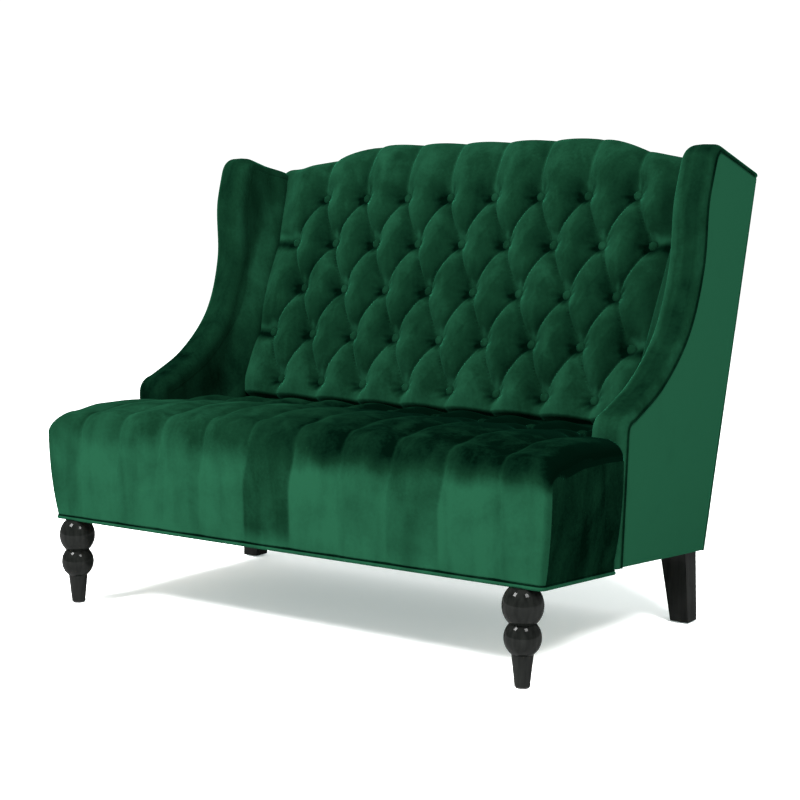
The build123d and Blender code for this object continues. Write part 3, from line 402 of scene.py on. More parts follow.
def rows_behind(crest):
    """Rows from the crest's top back to the outside back, and down inside it."""
    limit = outside_y(crest_z(crest[:, 0]) - 14, OUTSIDE_THICK + 2)
    run = (limit - crest[:, 1]) / cos(RAKE)
    rows = []
    for part in np.linspace(0, 1, 26)[1:]:
        fall = 9 * part + 7 * smooth((part - 0.75) / 0.25)
        rows.append(crest - OUT_BACK * (run * part)[:, None] - UP_BACK * fall)
    end = rows[-1]
    for part in np.linspace(0, 1, 8)[1:]:
        z = end[:, 2] - 26 * part
        rows.append(np.stack([end[:, 0], outside_y(z, OUTSIDE_THICK + 1), z], -1))
    return rows


print("edging at the last button and at the wing:", edging(484.0), edging(564.0))

# %% The back pad, with painted light and shade on its pile


def back_pad(inset=0.0):
    """Points of the inside back, or of its inner skin inset mm behind, and its pits' painted shade and
    highlight.
    """
    share = np.linspace(-1, 1, int(2 * 575 / BACK_STEP))
    up = np.linspace(BACK_FOOT_V, CREST_V, int((CREST_V - BACK_FOOT_V) / BACK_STEP))
    rows, painted_pits = map(list, zip(*[face_row(v, share, inset) for v in up]))
    rows += [crest_row(turn, share, inset) for turn in np.linspace(0, 90, 26)[1:]]
    rows += rows_behind(rows[-1])
    painted_pits += [np.zeros(len(share))] * (len(rows) - len(painted_pits))
    return np.stack(rows), np.stack(painted_pits)


outer, painted_pits = back_pad()
outer = outer + OUT_BACK * (waves(outer, 70.0, 3.0) * 1.2)[:, :, None]
inner = back_pad(14.0)[0]
inner[:, :, 2] = np.minimum(inner[:, :, 2], outer[:, :, 2])
# brighter low on the back and a little at the top, darker to the right; the pits add their painted
# shade and highlight
high = smooth((outer[:, :, 2] - 880.0) / 120.0)
low = smooth((560.0 - outer[:, :, 2]) / 110.0)
facing = slopes(outer)
nap_and_shading = 0.46 + 0.01 * high + 0.16 * low - 0.05 * smooth(outer[:, :, 0] / 500.0) + painted_pits
# painted light and shade: brighter where the cloth faces left, toward the front left light, and where
# it faces up the slope
nap_and_shading = nap_and_shading - 0.25 * facing[:, :, 0] + 0.12 * facing @ UP_BACK
settee_back = closed_pad("inside_back", outer, inner, nap_and_shading)
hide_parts("inside_back_cover", "back_foam", "back_webbing")
print("inside back:", len(settee_back.data.polygons), "faces")

# %% [markdown]
# ## The seat
# The seat is fixed. Channels run up its front, over a firm edge and back to the
# first row of buttons, and diamonds follow. Channels made one by one would be
# simple, but their seams wouldn't run into the buttons' folds. The buttoning above
# gives both at once, because past its rows the folds run straight.

# %% Sizes of the seat
SEAT_HALF, SEAT_FRONT = 638.0, -413.5
SEAT_CROWN, SEAT_FRONT_DROP = 16.0, 10.0  # the top's fall to its ends, and to its front
FRONT_FULL, FRONT_CROWN = 16.0, 10.0  # from the photograph: fuller and rounder in front
SEAT_EDGE = 50.0  # radius of the front edge, which turns round this axis:
AXIS_Y, AXIS_Z = SEAT_FRONT + SEAT_EDGE, SEAT_TOP - SEAT_FRONT_DROP - SEAT_EDGE
COVER_BOTTOM = 193.5  # at the front, from the photograph
FRONT_DRAW, SIDE_DRAW = 8.0, 17.0  # how far the cover is drawn in at its bottom
TOP_CORNER, FRONT_CORNER, CORNER_DROP = 44.0, 12.0, 40.0  # how round the ends are
CREASE_START, CREASE_Y, CREASE_Z, SEAT_BACK_END = 20.0, 90.5, 415.0, 160.0
ARM_FRONT = -137.5
ARM_LINE = ARM_FRONT - 0.6  # where the end panels meet the arms
SEAT_INSIDE = wing_x(0, 425.0) - 0.5  # half width between the wings
SEAT_PITCH, SEAT_ROW_Y, SEAT_ROW_GAP, SEAT_OUTER = 533.0 / 9, -104.5, 100.0, 9
SEAT_TUFTS = dict(
    pitch=SEAT_PITCH, gap=SEAT_ROW_GAP, rows=2, outer=SEAT_OUTER, fold=0.26, before=0.55, after=0.5
)
CHANNEL_V = -250.0  # stands for the front: far before the rows, so its folds are straight
FORWARD, UPWARD = np.array([0.0, -1.0, 0.0]), np.array([0.0, 0.0, 1.0])
print("seat pitch", round(SEAT_PITCH, 2), "mm, front edge's axis at", AXIS_Y, AXIS_Z)

# %% Heights and columns of the seat


def seat_rise(x, y):
    """Height of the seat's pillows over the axis of its front edge; fullest in front."""
    full = smooth((-60.0 - y) / 170.0)
    crown = SEAT_CROWN + FRONT_CROWN * full
    return SEAT_TOP + FRONT_FULL * full - crown * (x / SEAT_HALF) ** 2 - AXIS_Z


def crease_fall(y):
    """How far the seat has fallen into the crease under the back pad, from 0 to 1."""
    return smooth((y - CREASE_START) / (CREASE_Y - CREASE_START))


def creased_rise(x, y):
    """Height of the pillows with that fall."""
    fall = crease_fall(y)
    return seat_rise(x, y) * (1 - fall) + (CREASE_Z - AXIS_Z) * fall


def seam_shift(z):
    """How far the channels' seams are pulled left on the front, in mm, at height z."""
    return 15.0 * smooth((AXIS_Z + 15.0 - z) / 90.0)


def drawn_in(z):
    """How far the cover is drawn in at height z: 0 at the edge's axis, 1 at its bottom."""
    return np.clip((AXIS_Z - z) / (AXIS_Z - COVER_BOTTOM), 0, 1) ** 2.2


def round_over(t):
    """A quarter circle from 0 to 1, steep at first and level at last."""
    return np.sqrt(1 - (1 - t) ** 2)


SEAT_STEP, ROUND_COLUMNS = 3.6, 12
FLAT_HALF, OUTER_SEAM = SEAT_HALF - TOP_CORNER, SEAT_PITCH * SEAT_OUTER
flat_x = np.linspace(-FLAT_HALF, FLAT_HALF, int(2 * FLAT_HALF / SEAT_STEP))
rounding = np.linspace(0, pi / 2, ROUND_COLUMNS + 1)[1:]
ones = np.ones(ROUND_COLUMNS)
column_side = np.concatenate([-ones, np.sign(flat_x), ones])
column_turn = np.concatenate([rounding[::-1], 0 * flat_x, rounding])
column_x = np.concatenate([FLAT_HALF * ones, np.abs(flat_x), FLAT_HALF * ones])
print("columns across the seat:", len(column_x))

# %% Rows of the seat


def seat_row(place, out, crown, half, corner, v, depth, inset):
    """Points across the seat, raised from place along out, and their pits' painted shade and
    highlight.

    crown gives the pillows' height at each x, depth is how deep the folds lie below
    it, and v how far back the row is from the first buttons.
    """
    beyond = np.clip((column_x - OUTER_SEAM) / (FLAT_HALF - OUTER_SEAM), 0, 1)
    past = column_x > OUTER_SEAM
    x = np.where(past, OUTER_SEAM + beyond * (half - corner - OUTER_SEAM), column_x)
    height, painted_pits = tufting(column_side * x + seam_shift(place[2]), v, **SEAT_TUFTS)
    # past the outermost seam, half a channel fills up to the seat's end
    full = 0.62 + 0.38 * np.sin(pi / 2 * beyond) ** 0.5
    height = np.where(past & (v < -20), np.maximum(height, full), height)
    rise = crown(x) - depth * (1 - height)
    rise = rise - min(corner, CORNER_DROP) * (1 - np.cos(column_turn))
    spot = place + out * (rise - inset)[:, None]
    spot[:, 0] = column_side * (x + corner * np.sin(column_turn))
    return spot, painted_pits


def front_row(z, inset):
    """A row of the front at height z."""
    draw = drawn_in(z)
    return seat_row(
        np.array([0.0, AXIS_Y, z]), FORWARD, lambda x: SEAT_EDGE - FRONT_DRAW * draw + 0 * x,
        SEAT_HALF - SIDE_DRAW * draw, FRONT_CORNER, CHANNEL_V, 13.0 - 10.0 * draw, inset
    )


def edge_row(turn, inset):
    """A row of the rounded edge, turn degrees up from the front."""
    up, forth = sin(radians(turn)), cos(radians(turn))

    def crown(x):
        return 1 / np.hypot(forth / SEAT_EDGE, up / (seat_rise(x, AXIS_Y) - SEAT_FRONT_DROP))

    corner = FRONT_CORNER + (TOP_CORNER - FRONT_CORNER) * up
    return seat_row(
        np.array([0.0, AXIS_Y, AXIS_Z]), FORWARD * forth + UPWARD * up, crown,
        SEAT_HALF, corner, CHANNEL_V, 13.0 + 4.0 * up, inset
    )


def top_row(y, inset):
    """A row of the top in front of the arms."""
    drop = SEAT_FRONT_DROP * (1 - smooth((y - AXIS_Y) / 84.0))
    return seat_row(
        np.array([0.0, y, AXIS_Z]), UPWARD, lambda x: seat_rise(x, y) - drop,
        SEAT_HALF, TOP_CORNER, y - SEAT_ROW_Y, 17.0 + 5.0 * smooth((y + 230) / 90), inset
    )


def arm_row(y, inset):
    """A row between the arms, with its ends tucked down beside the wings."""
    spot, painted_pits = seat_row(
        np.array([0.0, y, AXIS_Z]), UPWARD, lambda x: creased_rise(x, y),
        SEAT_HALF, TOP_CORNER, y - SEAT_ROW_Y, 22.0 * (1 - 0.94 * crease_fall(y)), inset
    )
    over = np.abs(spot[:, 0]) - SEAT_INSIDE
    spot[:, 2] -= 10.0 * (1 - round_over(np.clip(-over / 14.0, 0, 1)))
    first = int(np.searchsorted(-np.abs(spot[: len(spot) // 2, 0]), -SEAT_INSIDE))
    tucked = spot[first, 2] - 38.0 * np.clip(over / (SEAT_HALF - SEAT_INSIDE), 0, 1)
    spot[:, 2] = np.where(over > 0, tucked, spot[:, 2])
    spot[:, 0] = np.clip(spot[:, 0], -SEAT_INSIDE, SEAT_INSIDE)
    return spot, painted_pits


print("seat's top over the edge's axis:", round(float(seat_rise(0, AXIS_Y)), 1), "mm")

# %% The seat pad
FRONT_ROWS, EDGE_ROWS, TOP_ROWS, ARM_ROWS = 44, 29, 63, 84


def seat_pad(inset=0.0):
    """Points of the seat's front and top, or of its inner skin inset mm in, and the pits' painted
    shade and highlight.
    """
    rows = [front_row(z, inset) for z in np.linspace(COVER_BOTTOM, AXIS_Z, FRONT_ROWS)]
    rows += [edge_row(turn, inset) for turn in np.linspace(0, 90, EDGE_ROWS + 1)[1:]]
    rows += [top_row(y, inset) for y in np.linspace(AXIS_Y, ARM_LINE, TOP_ROWS + 1)[1:]]
    rows += [arm_row(y, inset) for y in np.linspace(ARM_LINE + 0.5, SEAT_BACK_END, ARM_ROWS)]
    return map(np.stack, zip(*rows))


outer, painted_pits = seat_pad()
lift = waves(outer, 80.0, 7.0)[:, :, None] * np.array([0.0, -0.6, 0.9])
outer = outer + lift * smooth((outer[:, :, 2] - COVER_BOTTOM) / 60)[:, :, None]
inner, _ = seat_pad(9.0)
print("seat pad:", outer.shape[0], "rows of", outer.shape[1])

# %% [markdown]
# On the real seat each channel's pile lies its own way, and one is much darker than
# its neighbours. The top is darker than the front, most of all at the right and at
# the back: partly the pile, and partly painted shade. Faces turned right are painted
# darker, as painted light from the left, and the top gets the pits' painted shade
# and highlight. Noise breaks up the edge between front and top, because a straight
# one would look painted.

# %% The seat's pile, with painted light and shade
CHANNEL_NAP = np.array([0.72, 0.83, 0.80, 0.76, 0.82, 0.46, 0.88, 0.80, 0.62, 0.86, 0.78])
HEM_NAP = 0.82  # just above the piping
along_x, height = outer[:, :, 0], outer[:, :, 2]
seams = np.arange(-4.5, 5.0)
front_nap = np.interp(
    (along_x + seam_shift(height)) / SEAT_PITCH / 2,
    np.stack([seams - 0.03, seams + 0.03], -1).ravel(),
    np.stack([CHANNEL_NAP[:-1], CHANNEL_NAP[1:]], -1).ravel(),
)
front_nap = front_nap + (HEM_NAP - front_nap) * smooth((235.0 - height) / 45.0)
above = smooth((height + 16.0 * waves(outer, 55.0, 4.0) - 345.0) / 62.0)
rightward = smooth((along_x + 420.0) / 720.0)
backward = smooth((outer[:, :, 1] + 215.0) / 90.0)
# the top is darker than the front and darker to the right: partly the pile, partly painted shade
nap_and_shading = front_nap * (1 - above) + (0.54 - 0.42 * rightward) * above
# painted light from the left: faces turned right are darker; the pits' painted shade and highlight
# only on the top
nap_and_shading = nap_and_shading - (0.14 + 0.24 * above) * slopes(outer)[:, :, 0] + painted_pits * above
# painted shade toward the back of the seat, under the back pad and wings
nap_and_shading = nap_and_shading - 0.20 * above * backward
seat = closed_pad("seat_top_and_front", outer, inner, nap_and_shading)
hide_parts("seat_cover", "seat_foam", "edge_roll", "spring_felt")
print("seat:", len(seat.data.polygons), "faces")

# %% [markdown]
# The seat's ends in front of the arms have panels of their own. Each one starts from
# the seat pad's last points, so no gap can open along the seam. Its bottom edge
# slopes down to the back, as photographed, and is turned under like a hem.

# %% End panels of the seat
BOTH_SIDES = ((1, "right"), (-1, "left"))


def foot_fall(y):
    """How far the covers' bottom edge has fallen at y; it slopes down to the back."""
    return 0.062 * np.clip(y - SEAT_FRONT - FRONT_DRAW, 0, None)


def seat_side(sign, edge, inset=0.0):
    """The seat's end panel in front of an arm, from the seat pad's own edge inward."""
    run = even(edge[:, 1:], 170)
    start, end = run[0], run[-1]
    low_run = np.linalg.norm(end[0] - start[0]) / (end[0] - start[0] + end[1] - COVER_BOTTOM)
    share = np.linspace(0, 1, len(run))
    along = np.clip(share / low_run, 0, 1)
    upward = np.clip((share - low_run) / (1 - low_run), 0, 1)
    goal = np.stack([start[0] + (ARM_LINE - start[0]) * along, COVER_BOTTOM + 0 * along], -1)
    goal[:, 1] -= foot_fall(goal[:, 0])
    goal[:, 1] += (end[1] - goal[-1, 1]) * upward
    rows = []
    for part in np.linspace(0, 1, 50):
        spot = run + (goal - run) * part
        bulge = 3.0 * sin(pi * part) * np.sin(pi * share)
        x = SEAT_HALF - SIDE_DRAW * drawn_in(spot[:, 1]) + bulge - inset
        rows.append(np.stack([sign * x, spot[:, 0], spot[:, 1]], -1))
    hem = rows[-1] - (sign * 15.0, 0, 0)
    hem[:, 1] += 8.0 * smooth(upward / 0.05)
    return np.stack([*rows, hem])


edge = outer[: FRONT_ROWS + EDGE_ROWS + TOP_ROWS, -1]
sides = []
for sign, name in BOTH_SIDES:
    panel = closed_pad(
        f"seat_side_{name}", seat_side(sign, edge), seat_side(sign, edge, 8.0), 0.16, sign < 0
    )
    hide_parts("seat_cover")
    sides.append(panel)
print("end panels:", [panel.name for panel in sides])

# %% [markdown]
# ## Wings and arms
# Each wing is a padded board cut to one line, which rises round the arm's nose,
# sweeps up and rounds over to the back. Its points were traced on the photograph,
# and straight lines, an arc and cubics join them. A curve object could hold the
# line too, but the pads need its points and its inward direction as numbers.

# %% Lines through points


def arc_points(start, end, centre, count):
    """Points of a circle's arc between two points round a centre."""
    start, end, centre = map(np.array, (start, end, centre))
    a = np.arctan2(*(start - centre)[::-1])
    b = np.arctan2(*(end - centre)[::-1])
    b = a + (b - a + pi) % (2 * pi) - pi
    t = np.linspace(a, b, count)
    return centre + np.linalg.norm(start - centre) * np.stack([np.cos(t), np.sin(t)], -1)


def spline_points(points, count):
    """A smooth line through points, as a cubic with tangents from their neighbours."""
    points = np.array(points, float)
    t = np.concatenate([[0], np.cumsum(np.linalg.norm(np.diff(points, axis=0), axis=1))])
    slope = np.gradient(points, t, axis=0)
    s = np.linspace(0, t[-1], count)
    k = np.clip(np.searchsorted(t, s, "right") - 1, 0, len(t) - 2)
    width = (t[k + 1] - t[k])[:, None]
    u = ((s - t[k])[:, None]) / width
    return (
        (2 * u**3 - 3 * u**2 + 1) * points[k]
        + (u**3 - 2 * u**2 + u) * width * slope[k]
        + (-2 * u**3 + 3 * u**2) * points[k + 1]
        + (u**3 - u**2) * width * slope[k + 1]
    )


print("a quarter turn ends at", arc_points((1.0, 0.0), (0.0, 1.0), (0.0, 0.0), 3)[-1].round(3))

# %% The wing's edge line
ARM_FOOT = (ARM_FRONT, 177.0)  # every point is a (y, z)
ARM_NOSE, NOSE_TOP = (ARM_FRONT, 438.0), (-99.5, 478.0)
SWEEP = [(5.5, 530.0), (106.5, 628.0), (150.5, 745.0), (159.5, 887.0)]
CORNER_FOOT, CORNER_TOP = (178.5, 950.0), (220.5, 990.0)


def wing_line(count=300):
    """(y, z) along the wing's outer edge, from the arm's foot to the outside back."""
    ahead, up = NOSE_TOP[0] - ARM_NOSE[0], NOSE_TOP[1] - ARM_NOSE[1]
    radius = (ahead**2 + up**2) / (2 * ahead)
    swept = spline_points([NOSE_TOP, *SWEEP, CORNER_FOOT], 200)
    corner = [swept[-2], CORNER_FOOT, (193, 977.0), CORNER_TOP, (245, 984)]
    back_top = (outside_y(WING_BACK_TOP, OUTSIDE_THICK), WING_BACK_TOP)
    parts = [
        np.linspace(ARM_FOOT, ARM_NOSE, 60)[:-1],
        arc_points(ARM_NOSE, NOSE_TOP, (ARM_NOSE[0] + radius, ARM_NOSE[1]), 20)[:-1],
        swept[:-1],
        spline_points(corner, 40)[3:-4],
        np.linspace((236, 986.5), back_top, 60),
    ]
    line = even(np.concatenate(parts), count)
    for _ in range(6):
        line[1:-1] = (line[:-2] + 2 * line[1:-1] + line[2:]) / 4
    return line


edge_line = wing_line()
edge_way = np.gradient(edge_line, axis=0)
edge_way /= np.linalg.norm(edge_way, axis=1)[:, None]
inward = np.stack([edge_way[:, 1], -edge_way[:, 0]], -1)
# past the top corner the roll is slimmer
corner_at = int(np.argmin(np.linalg.norm(edge_line - (205.0, 984.0), axis=1)))
slim = 1 - 0.38 * smooth((np.arange(len(edge_line)) - corner_at + 12) / 24)
print("wing edge", round(float(np.linalg.norm(np.diff(edge_line, axis=0), axis=1).sum())), "mm")

# %% Places on a wing
# heights, and how far the inside swells there, from the photograph
SWELL_AT, SWELL = (600, 790, 886, 960), (42, 36, 26, 16)


def wing_place(y, z, depth, sign):
    """A point of a wing: its side view's y and z, and depth outboard of its inside.

    The inside swells toward the middle of the settee where it meets the back pad.
    """
    face = LOW_ROW[1] + (z - LOW_ROW[2]) * tan(RAKE) - 16.0
    swell = np.interp(z, SWELL_AT, SWELL) * smooth((y - face + 62) / 62)
    depth = depth - swell * smooth((44.0 - depth) / 34.0)
    return np.stack(np.broadcast_arrays(sign * wing_x(depth, z), y, z), -1)


def inset_line(inset):
    """The wing's edge line moved inward, its back end kept on the outside back."""
    line = edge_line + inward * inset * slim[:, None]
    line[:, 0] = np.minimum(line[:, 0], outside_y(line[:, 1], OUTSIDE_THICK))
    return line


print("a line 21 mm inside the edge starts at", inset_line(21.0)[0].round(1))

# %% [markdown]
# A padded roll goes round the wing's edge, from the welt on the outside over to the
# inside lining. Its section is drawn once and carried along the edge line. A
# bevelled curve would carry it too, but couldn't pass into the lining seamlessly.

# %% Wing covers
ROLL, ROLL_ROUND, ROLL_PROUD = 32.0, 27.0, 2.0  # width, roundness, and how far it stands out
WELT_INSET, WELT_ROUND = 21.0, 17.0  # place of the welt, and roundness beside it, as photographed
ROLL_ROWS, LINING_ROWS = 44, 49
LINING_FOOT, LINING_TOP = np.array([185.0, 300.0]), np.array([outside_y(915.0, 14.0), 915.0])
full = WING_DEPTH + ROLL_PROUD
quarter = np.linspace(0, pi / 2, 10)
outline = [(WELT_INSET - 1, full), (WELT_ROUND + 2, full)]
outline += [(WELT_ROUND * (1 - sin(t)), full - WELT_ROUND * (1 - cos(t))) for t in quarter]
outline += [(-1.2, full / 2)]
outline += [(ROLL_ROUND * (1 - cos(t)), ROLL_ROUND * (1 - sin(t))) for t in quarter]
roll_outline = even(np.array([*outline, (ROLL + 2, 0.0)]), ROLL_ROWS)
roll_centre = np.array([ROLL_ROUND + 10, full / 2])


def wing_cover(sign, shrink=0.0):
    """A wing's roll and inside lining as one cloth, or its inner skin."""
    rows = []
    for point in roll_outline:
        toward = roll_centre - point
        inset, depth = point + toward / np.linalg.norm(toward) * shrink
        line = inset_line(inset)
        rows.append(wing_place(line[:, 0], line[:, 1], depth, sign))
    start = inset_line(ROLL + 2)
    share = np.linspace(0, 1, len(start))[:, None]
    goal = LINING_FOOT + (LINING_TOP - LINING_FOOT) * share
    for part in np.linspace(0, 1, LINING_ROWS + 1)[1:]:
        line = start + (goal - start) * part
        line[:, 0] = np.minimum(line[:, 0], outside_y(line[:, 1], OUTSIDE_THICK))
        bulge = 4.0 * sin(pi * part) * np.sin(pi * share[:, 0]) ** 0.3
        rows.append(wing_place(line[:, 0], line[:, 1], 1.5 - bulge + shrink, sign))
    return np.stack(rows)


print("rows of a wing cover:", ROLL_ROWS + LINING_ROWS)

# %% [markdown]
# The two wings are made alike, but their pile lies differently and they get different
# painted light and shade. The right roll is painted bright where it turns inward and
# down the arm's front, and dark on top and beside the welt, as painted shade. The left
# one is darker, with painted shade low down. So the nap and shading have a rule for each side.

# %% Painted light and shade on the wings


def wing_shading(skin, sign):
    """Painted light and shade on a wing, by which way it faces: darker on the left one, and where the
    right roll faces up.
    """
    facing = slopes(skin) * sign
    sideways, height = facing[:, :, 0], skin[:, :, 2]
    row = np.arange(len(skin))[:, None]
    lining = row >= ROLL_ROWS
    deep = smooth(np.clip(row + 1 - ROLL_ROWS, 0, None) / 30)
    if sign > 0:
        # painted light: the right roll brighter where it turns to either side and low on the arm's
        # front, darker where it faces up
        roll = 0.37 - 0.56 * np.minimum(sideways, 0.1) + 0.28 * np.clip(sideways - 0.1, 0, 0.7)
        roll = roll - 0.14 * facing[:, :, 2] + 0.18 * smooth((480.0 - height) / 20.0)
        # painted shade in the crevice beside the welt
        roll = roll - 0.5 * bump(row, 1.6)
        low_shade = 0.0
    else:
        # painted light: the left roll brighter where it faces out, toward the front left light, and a
        # little where it faces in
        roll = 0.27 - 0.70 * np.minimum(sideways, 0) + 0.20 * np.maximum(sideways, 0)
        low_shade = 0.22 * smooth((640.0 - height) / 170.0)
    # painted shade: the lining darker further in from the roll
    return np.where(lining, 0.47 - 0.06 * deep, roll) - low_shade


print("darker one row from the welt by", round(0.5 * float(bump(1, 1.6)), 2))

# %% [markdown]
# The outside of a wing is a thinly padded panel, sewn to the roll along the welt.
# Its grid runs straight from the welt to the outside back, so it is flat as a
# stretched cloth is, with a slight swelling in the middle.

# %% Side panels
PANEL_ROWS, PANEL_WIDE, PANEL_LONG = 60, 330, 900  # rows, and about its size
PANEL_EDGE, PANEL_SUNK = 14, 3.0  # width of its rounded edge, and how far that lies back


def side_panel(sign, shrink=0.0):
    """A wing's padded outside cover."""
    start = inset_line(WELT_INSET - 1)
    share = np.linspace(0, 1, len(start))
    z = OUTSIDE_FOOT_Z + (start[-1, 1] - OUTSIDE_FOOT_Z) * share
    goal = np.stack([outside_y(z, OUTSIDE_THICK), z], -1)
    foot = round_over(np.clip(share * PANEL_LONG / PANEL_EDGE, 0, 1))
    rows = []
    for part in np.linspace(0, 1, PANEL_ROWS):
        line = start + (goal - start) * part
        rim = min(part * PANEL_WIDE, (1 - part) * PANEL_WIDE, PANEL_EDGE) / PANEL_EDGE
        bulge = 3.5 * sin(pi * part) * np.sin(pi * np.clip(share, 0.04, 0.96))
        depth = WING_DEPTH - PANEL_SUNK + PANEL_SUNK * round_over(rim) * foot + bulge - shrink
        rows.append(wing_place(line[:, 0], line[:, 1], depth, sign))
    return np.stack(rows)


# painted shade: the panel is darker beside the welt
panel_nap_and_shade = 0.92 - 0.35 * bump(np.linspace(0, PANEL_WIDE, PANEL_ROWS), 9)[:, None]
print("panel's nap by the welt:", panel_nap_and_shade[0, 0].round(2))

# %% Make both wings
# the welts' nearly black nap is painted shade of the crevice they sit in
WELT_RADIUS, WELT_SHADE = 2.8, 0.12
wing_pieces, welts, panels = [], [], []
for sign, name in BOTH_SIDES:
    skin = wing_cover(sign)
    cover = closed_pad(
        f"wing_cover_{name}", skin, wing_cover(sign, 9.0), wing_shading(skin, sign), sign < 0
    )
    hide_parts(f"wing_roll_{name}", f"wing_lining_{name}")
    panel = closed_pad(
        f"side_panel_{name}", side_panel(sign), side_panel(sign, 8.0), panel_nap_and_shade, sign > 0
    )
    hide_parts(f"side_cover_{name}")
    seam = inset_line(WELT_INSET)[:-3]
    welt_path = wing_place(seam[:, 0], seam[:, 1], WING_DEPTH + 1.5, sign)
    welt = tube(f"wing_welt_line_{name}", welt_path, WELT_RADIUS, WELT_SHADE)
    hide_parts(f"wing_welt_{name}")
    wing_pieces.append(cover)
    panels.append(panel)
    welts.append(welt)
print("wing cover:", len(wing_pieces[0].data.polygons), "faces")

# %% [markdown]
# ## Outside back
# The photograph doesn't show the outside back. It is taken as a flat board under
# wadding and velvet, as is usual. Its top follows the crest a little lower.

# %% Outside back
OUTSIDE_DROP = 29.0  # of its top below the crest
WING_BROW = wing_x(WING_DEPTH + ROLL_PROUD - ROLL_ROUND, WING_BACK_TOP)


def outside_panel(inset=0.0):
    """The outside back, flat and raked, with softly rounded edges."""
    share = np.linspace(-1, 1, 240)
    widest = wing_x(WING_DEPTH, WING_BACK_TOP)
    side = np.abs(share * widest)
    top = crest_z(side) - OUTSIDE_DROP
    top = np.where(side < CREST_FOOT, top, np.minimum(top, WING_BACK_TOP - 2))
    top = top - 14 * np.clip(side - WING_BROW, 0, None) / (widest - WING_BROW)
    rows = []
    for part in np.linspace(0, 1, 150):
        z = OUTSIDE_FOOT_Z + (top - OUTSIDE_FOOT_Z) * part
        across = share * wing_x(WING_DEPTH, z)
        gap = np.minimum(z - OUTSIDE_FOOT_Z, top - z)
        gap = np.minimum(gap, wing_x(WING_DEPTH, z) - np.abs(across))
        rim = round_over(np.clip(gap / 7, 0, 1))
        depth = OUTSIDE_THICK * 0.8 * (1 - rim) + inset
        depth = depth - 1.5 * np.sin(pi * part) * np.cos(pi / 2 * share)
        rows.append(np.stack([across, outside_y(z, np.maximum(depth, -2)), z], -1))
    return np.stack(rows)


outside = closed_pad("outside_back_panel", outside_panel(), outside_panel(6.0), 0.6, True)
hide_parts("outside_back")
print("outside back:", len(outside.data.polygons), "faces")

# %% [markdown]
# ## Bottom trim
# Piping, nearly black, and a narrow, brighter band under it finish the cover's bottom
# edge from arm to arm. The piping's near-black nap is painted shade under the seat's front.
# Both are tubes on one line, so they stay together at the corners.

# %% Piping and band
TRIM_HALF, TRIM_FRONT = SEAT_HALF - SIDE_DRAW, SEAT_FRONT + FRONT_DRAW
PIPING_Z, BAND_Z, BAND_RADIUS = 193.0, 188.2, 3.6  # heights at the front, as photographed


def trim_line(grow, z):
    """The seat's bottom edge, grown outward, round its front from arm to arm."""
    corner = FRONT_CORNER + grow
    half, front = TRIM_HALF + grow, TRIM_FRONT - grow
    turn = np.linspace(0, pi / 2, 14)
    left = np.stack([corner * np.cos(turn), corner * np.sin(turn)], -1)
    left = (corner - half, front + corner) - left
    line = np.concatenate([[(-half, ARM_LINE)], left, left[::-1] * (-1, 1), [(half, ARM_LINE)]])
    line = even(line, 400)
    return np.column_stack([line, z - foot_fall(line[:, 1])])


# painted shade: the piping's nap is nearly black
piping = tube("base_piping", trim_line(-1.6, PIPING_Z), WELT_RADIUS, 0.02)
lip = tube("base_lip", trim_line(-0.6, BAND_Z), BAND_RADIUS, 0.70)
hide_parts("base_welt")
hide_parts("base_band")
print("faces of piping and band:", len(piping.data.polygons), len(lip.data.polygons))

# %% [markdown]
# ## Covered buttons
# A covered button is a small domed mould with velvet pressed over it. There are 61,
# all alike. Geometry Nodes puts a flattened ball on each of 61 points, turned the
# way its pad faces. A loop of copies would look the same, but the node group keeps
# their size in one place.

# %% Button nodes
BUTTON_RADIUS, BUTTON_DOME = 11.5, 6.5  # half its width, and its height


def button_group():
    """A node group that puts covered buttons on points."""
    group = bpy.data.node_groups.new("covered_buttons", "GeometryNodeTree")
    face = group.interface
    face.new_socket("Geometry", in_out="INPUT", socket_type="NodeSocketGeometry")
    for label, value in (("Radius", BUTTON_RADIUS * MM), ("Dome", BUTTON_DOME * MM)):
        socket = face.new_socket(label, in_out="INPUT", socket_type="NodeSocketFloat")
        socket.default_value = value
    face.new_socket("Turn", in_out="INPUT", socket_type="NodeSocketRotation")
    face.new_socket("Material", in_out="INPUT", socket_type="NodeSocketMaterial")
    face.new_socket("Geometry", in_out="OUTPUT", socket_type="NodeSocketGeometry")
    nodes, links = group.nodes, group.links
    given, out = nodes.new("NodeGroupInput"), nodes.new("NodeGroupOutput")
    ball = nodes.new("GeometryNodeMeshUVSphere")
    for label, value in (("Segments", 28), ("Rings", 16), ("Radius", 1.0)):
        ball.inputs[label].default_value = value
    size = nodes.new("ShaderNodeCombineXYZ")
    put = nodes.new("GeometryNodeInstanceOnPoints")
    real = nodes.new("GeometryNodeRealizeInstances")
    shade = nodes.new("GeometryNodeSetShadeSmooth")
    paint = nodes.new("GeometryNodeSetMaterial")
    for source, plug, target, socket in (
        (given, "Geometry", put, "Points"),
        (ball, "Mesh", put, "Instance"),
        (given, "Turn", put, "Rotation"),
        (given, "Radius", size, "X"),
        (given, "Radius", size, "Y"),
        (given, "Dome", size, "Z"),
        (size, "Vector", put, "Scale"),
        (put, "Instances", real, "Geometry"),
        (real, "Geometry", shade, "Geometry"),
        (shade, "Geometry", paint, "Geometry"),
        (given, "Material", paint, "Material"),
        (paint, "Geometry", out, "Geometry"),
    ):
        links.new(source.outputs[plug], target.inputs[socket])
    return group


button_nodes = button_group()
print("button group has", len(button_nodes.nodes), "nodes")

# %% Buttons on spots


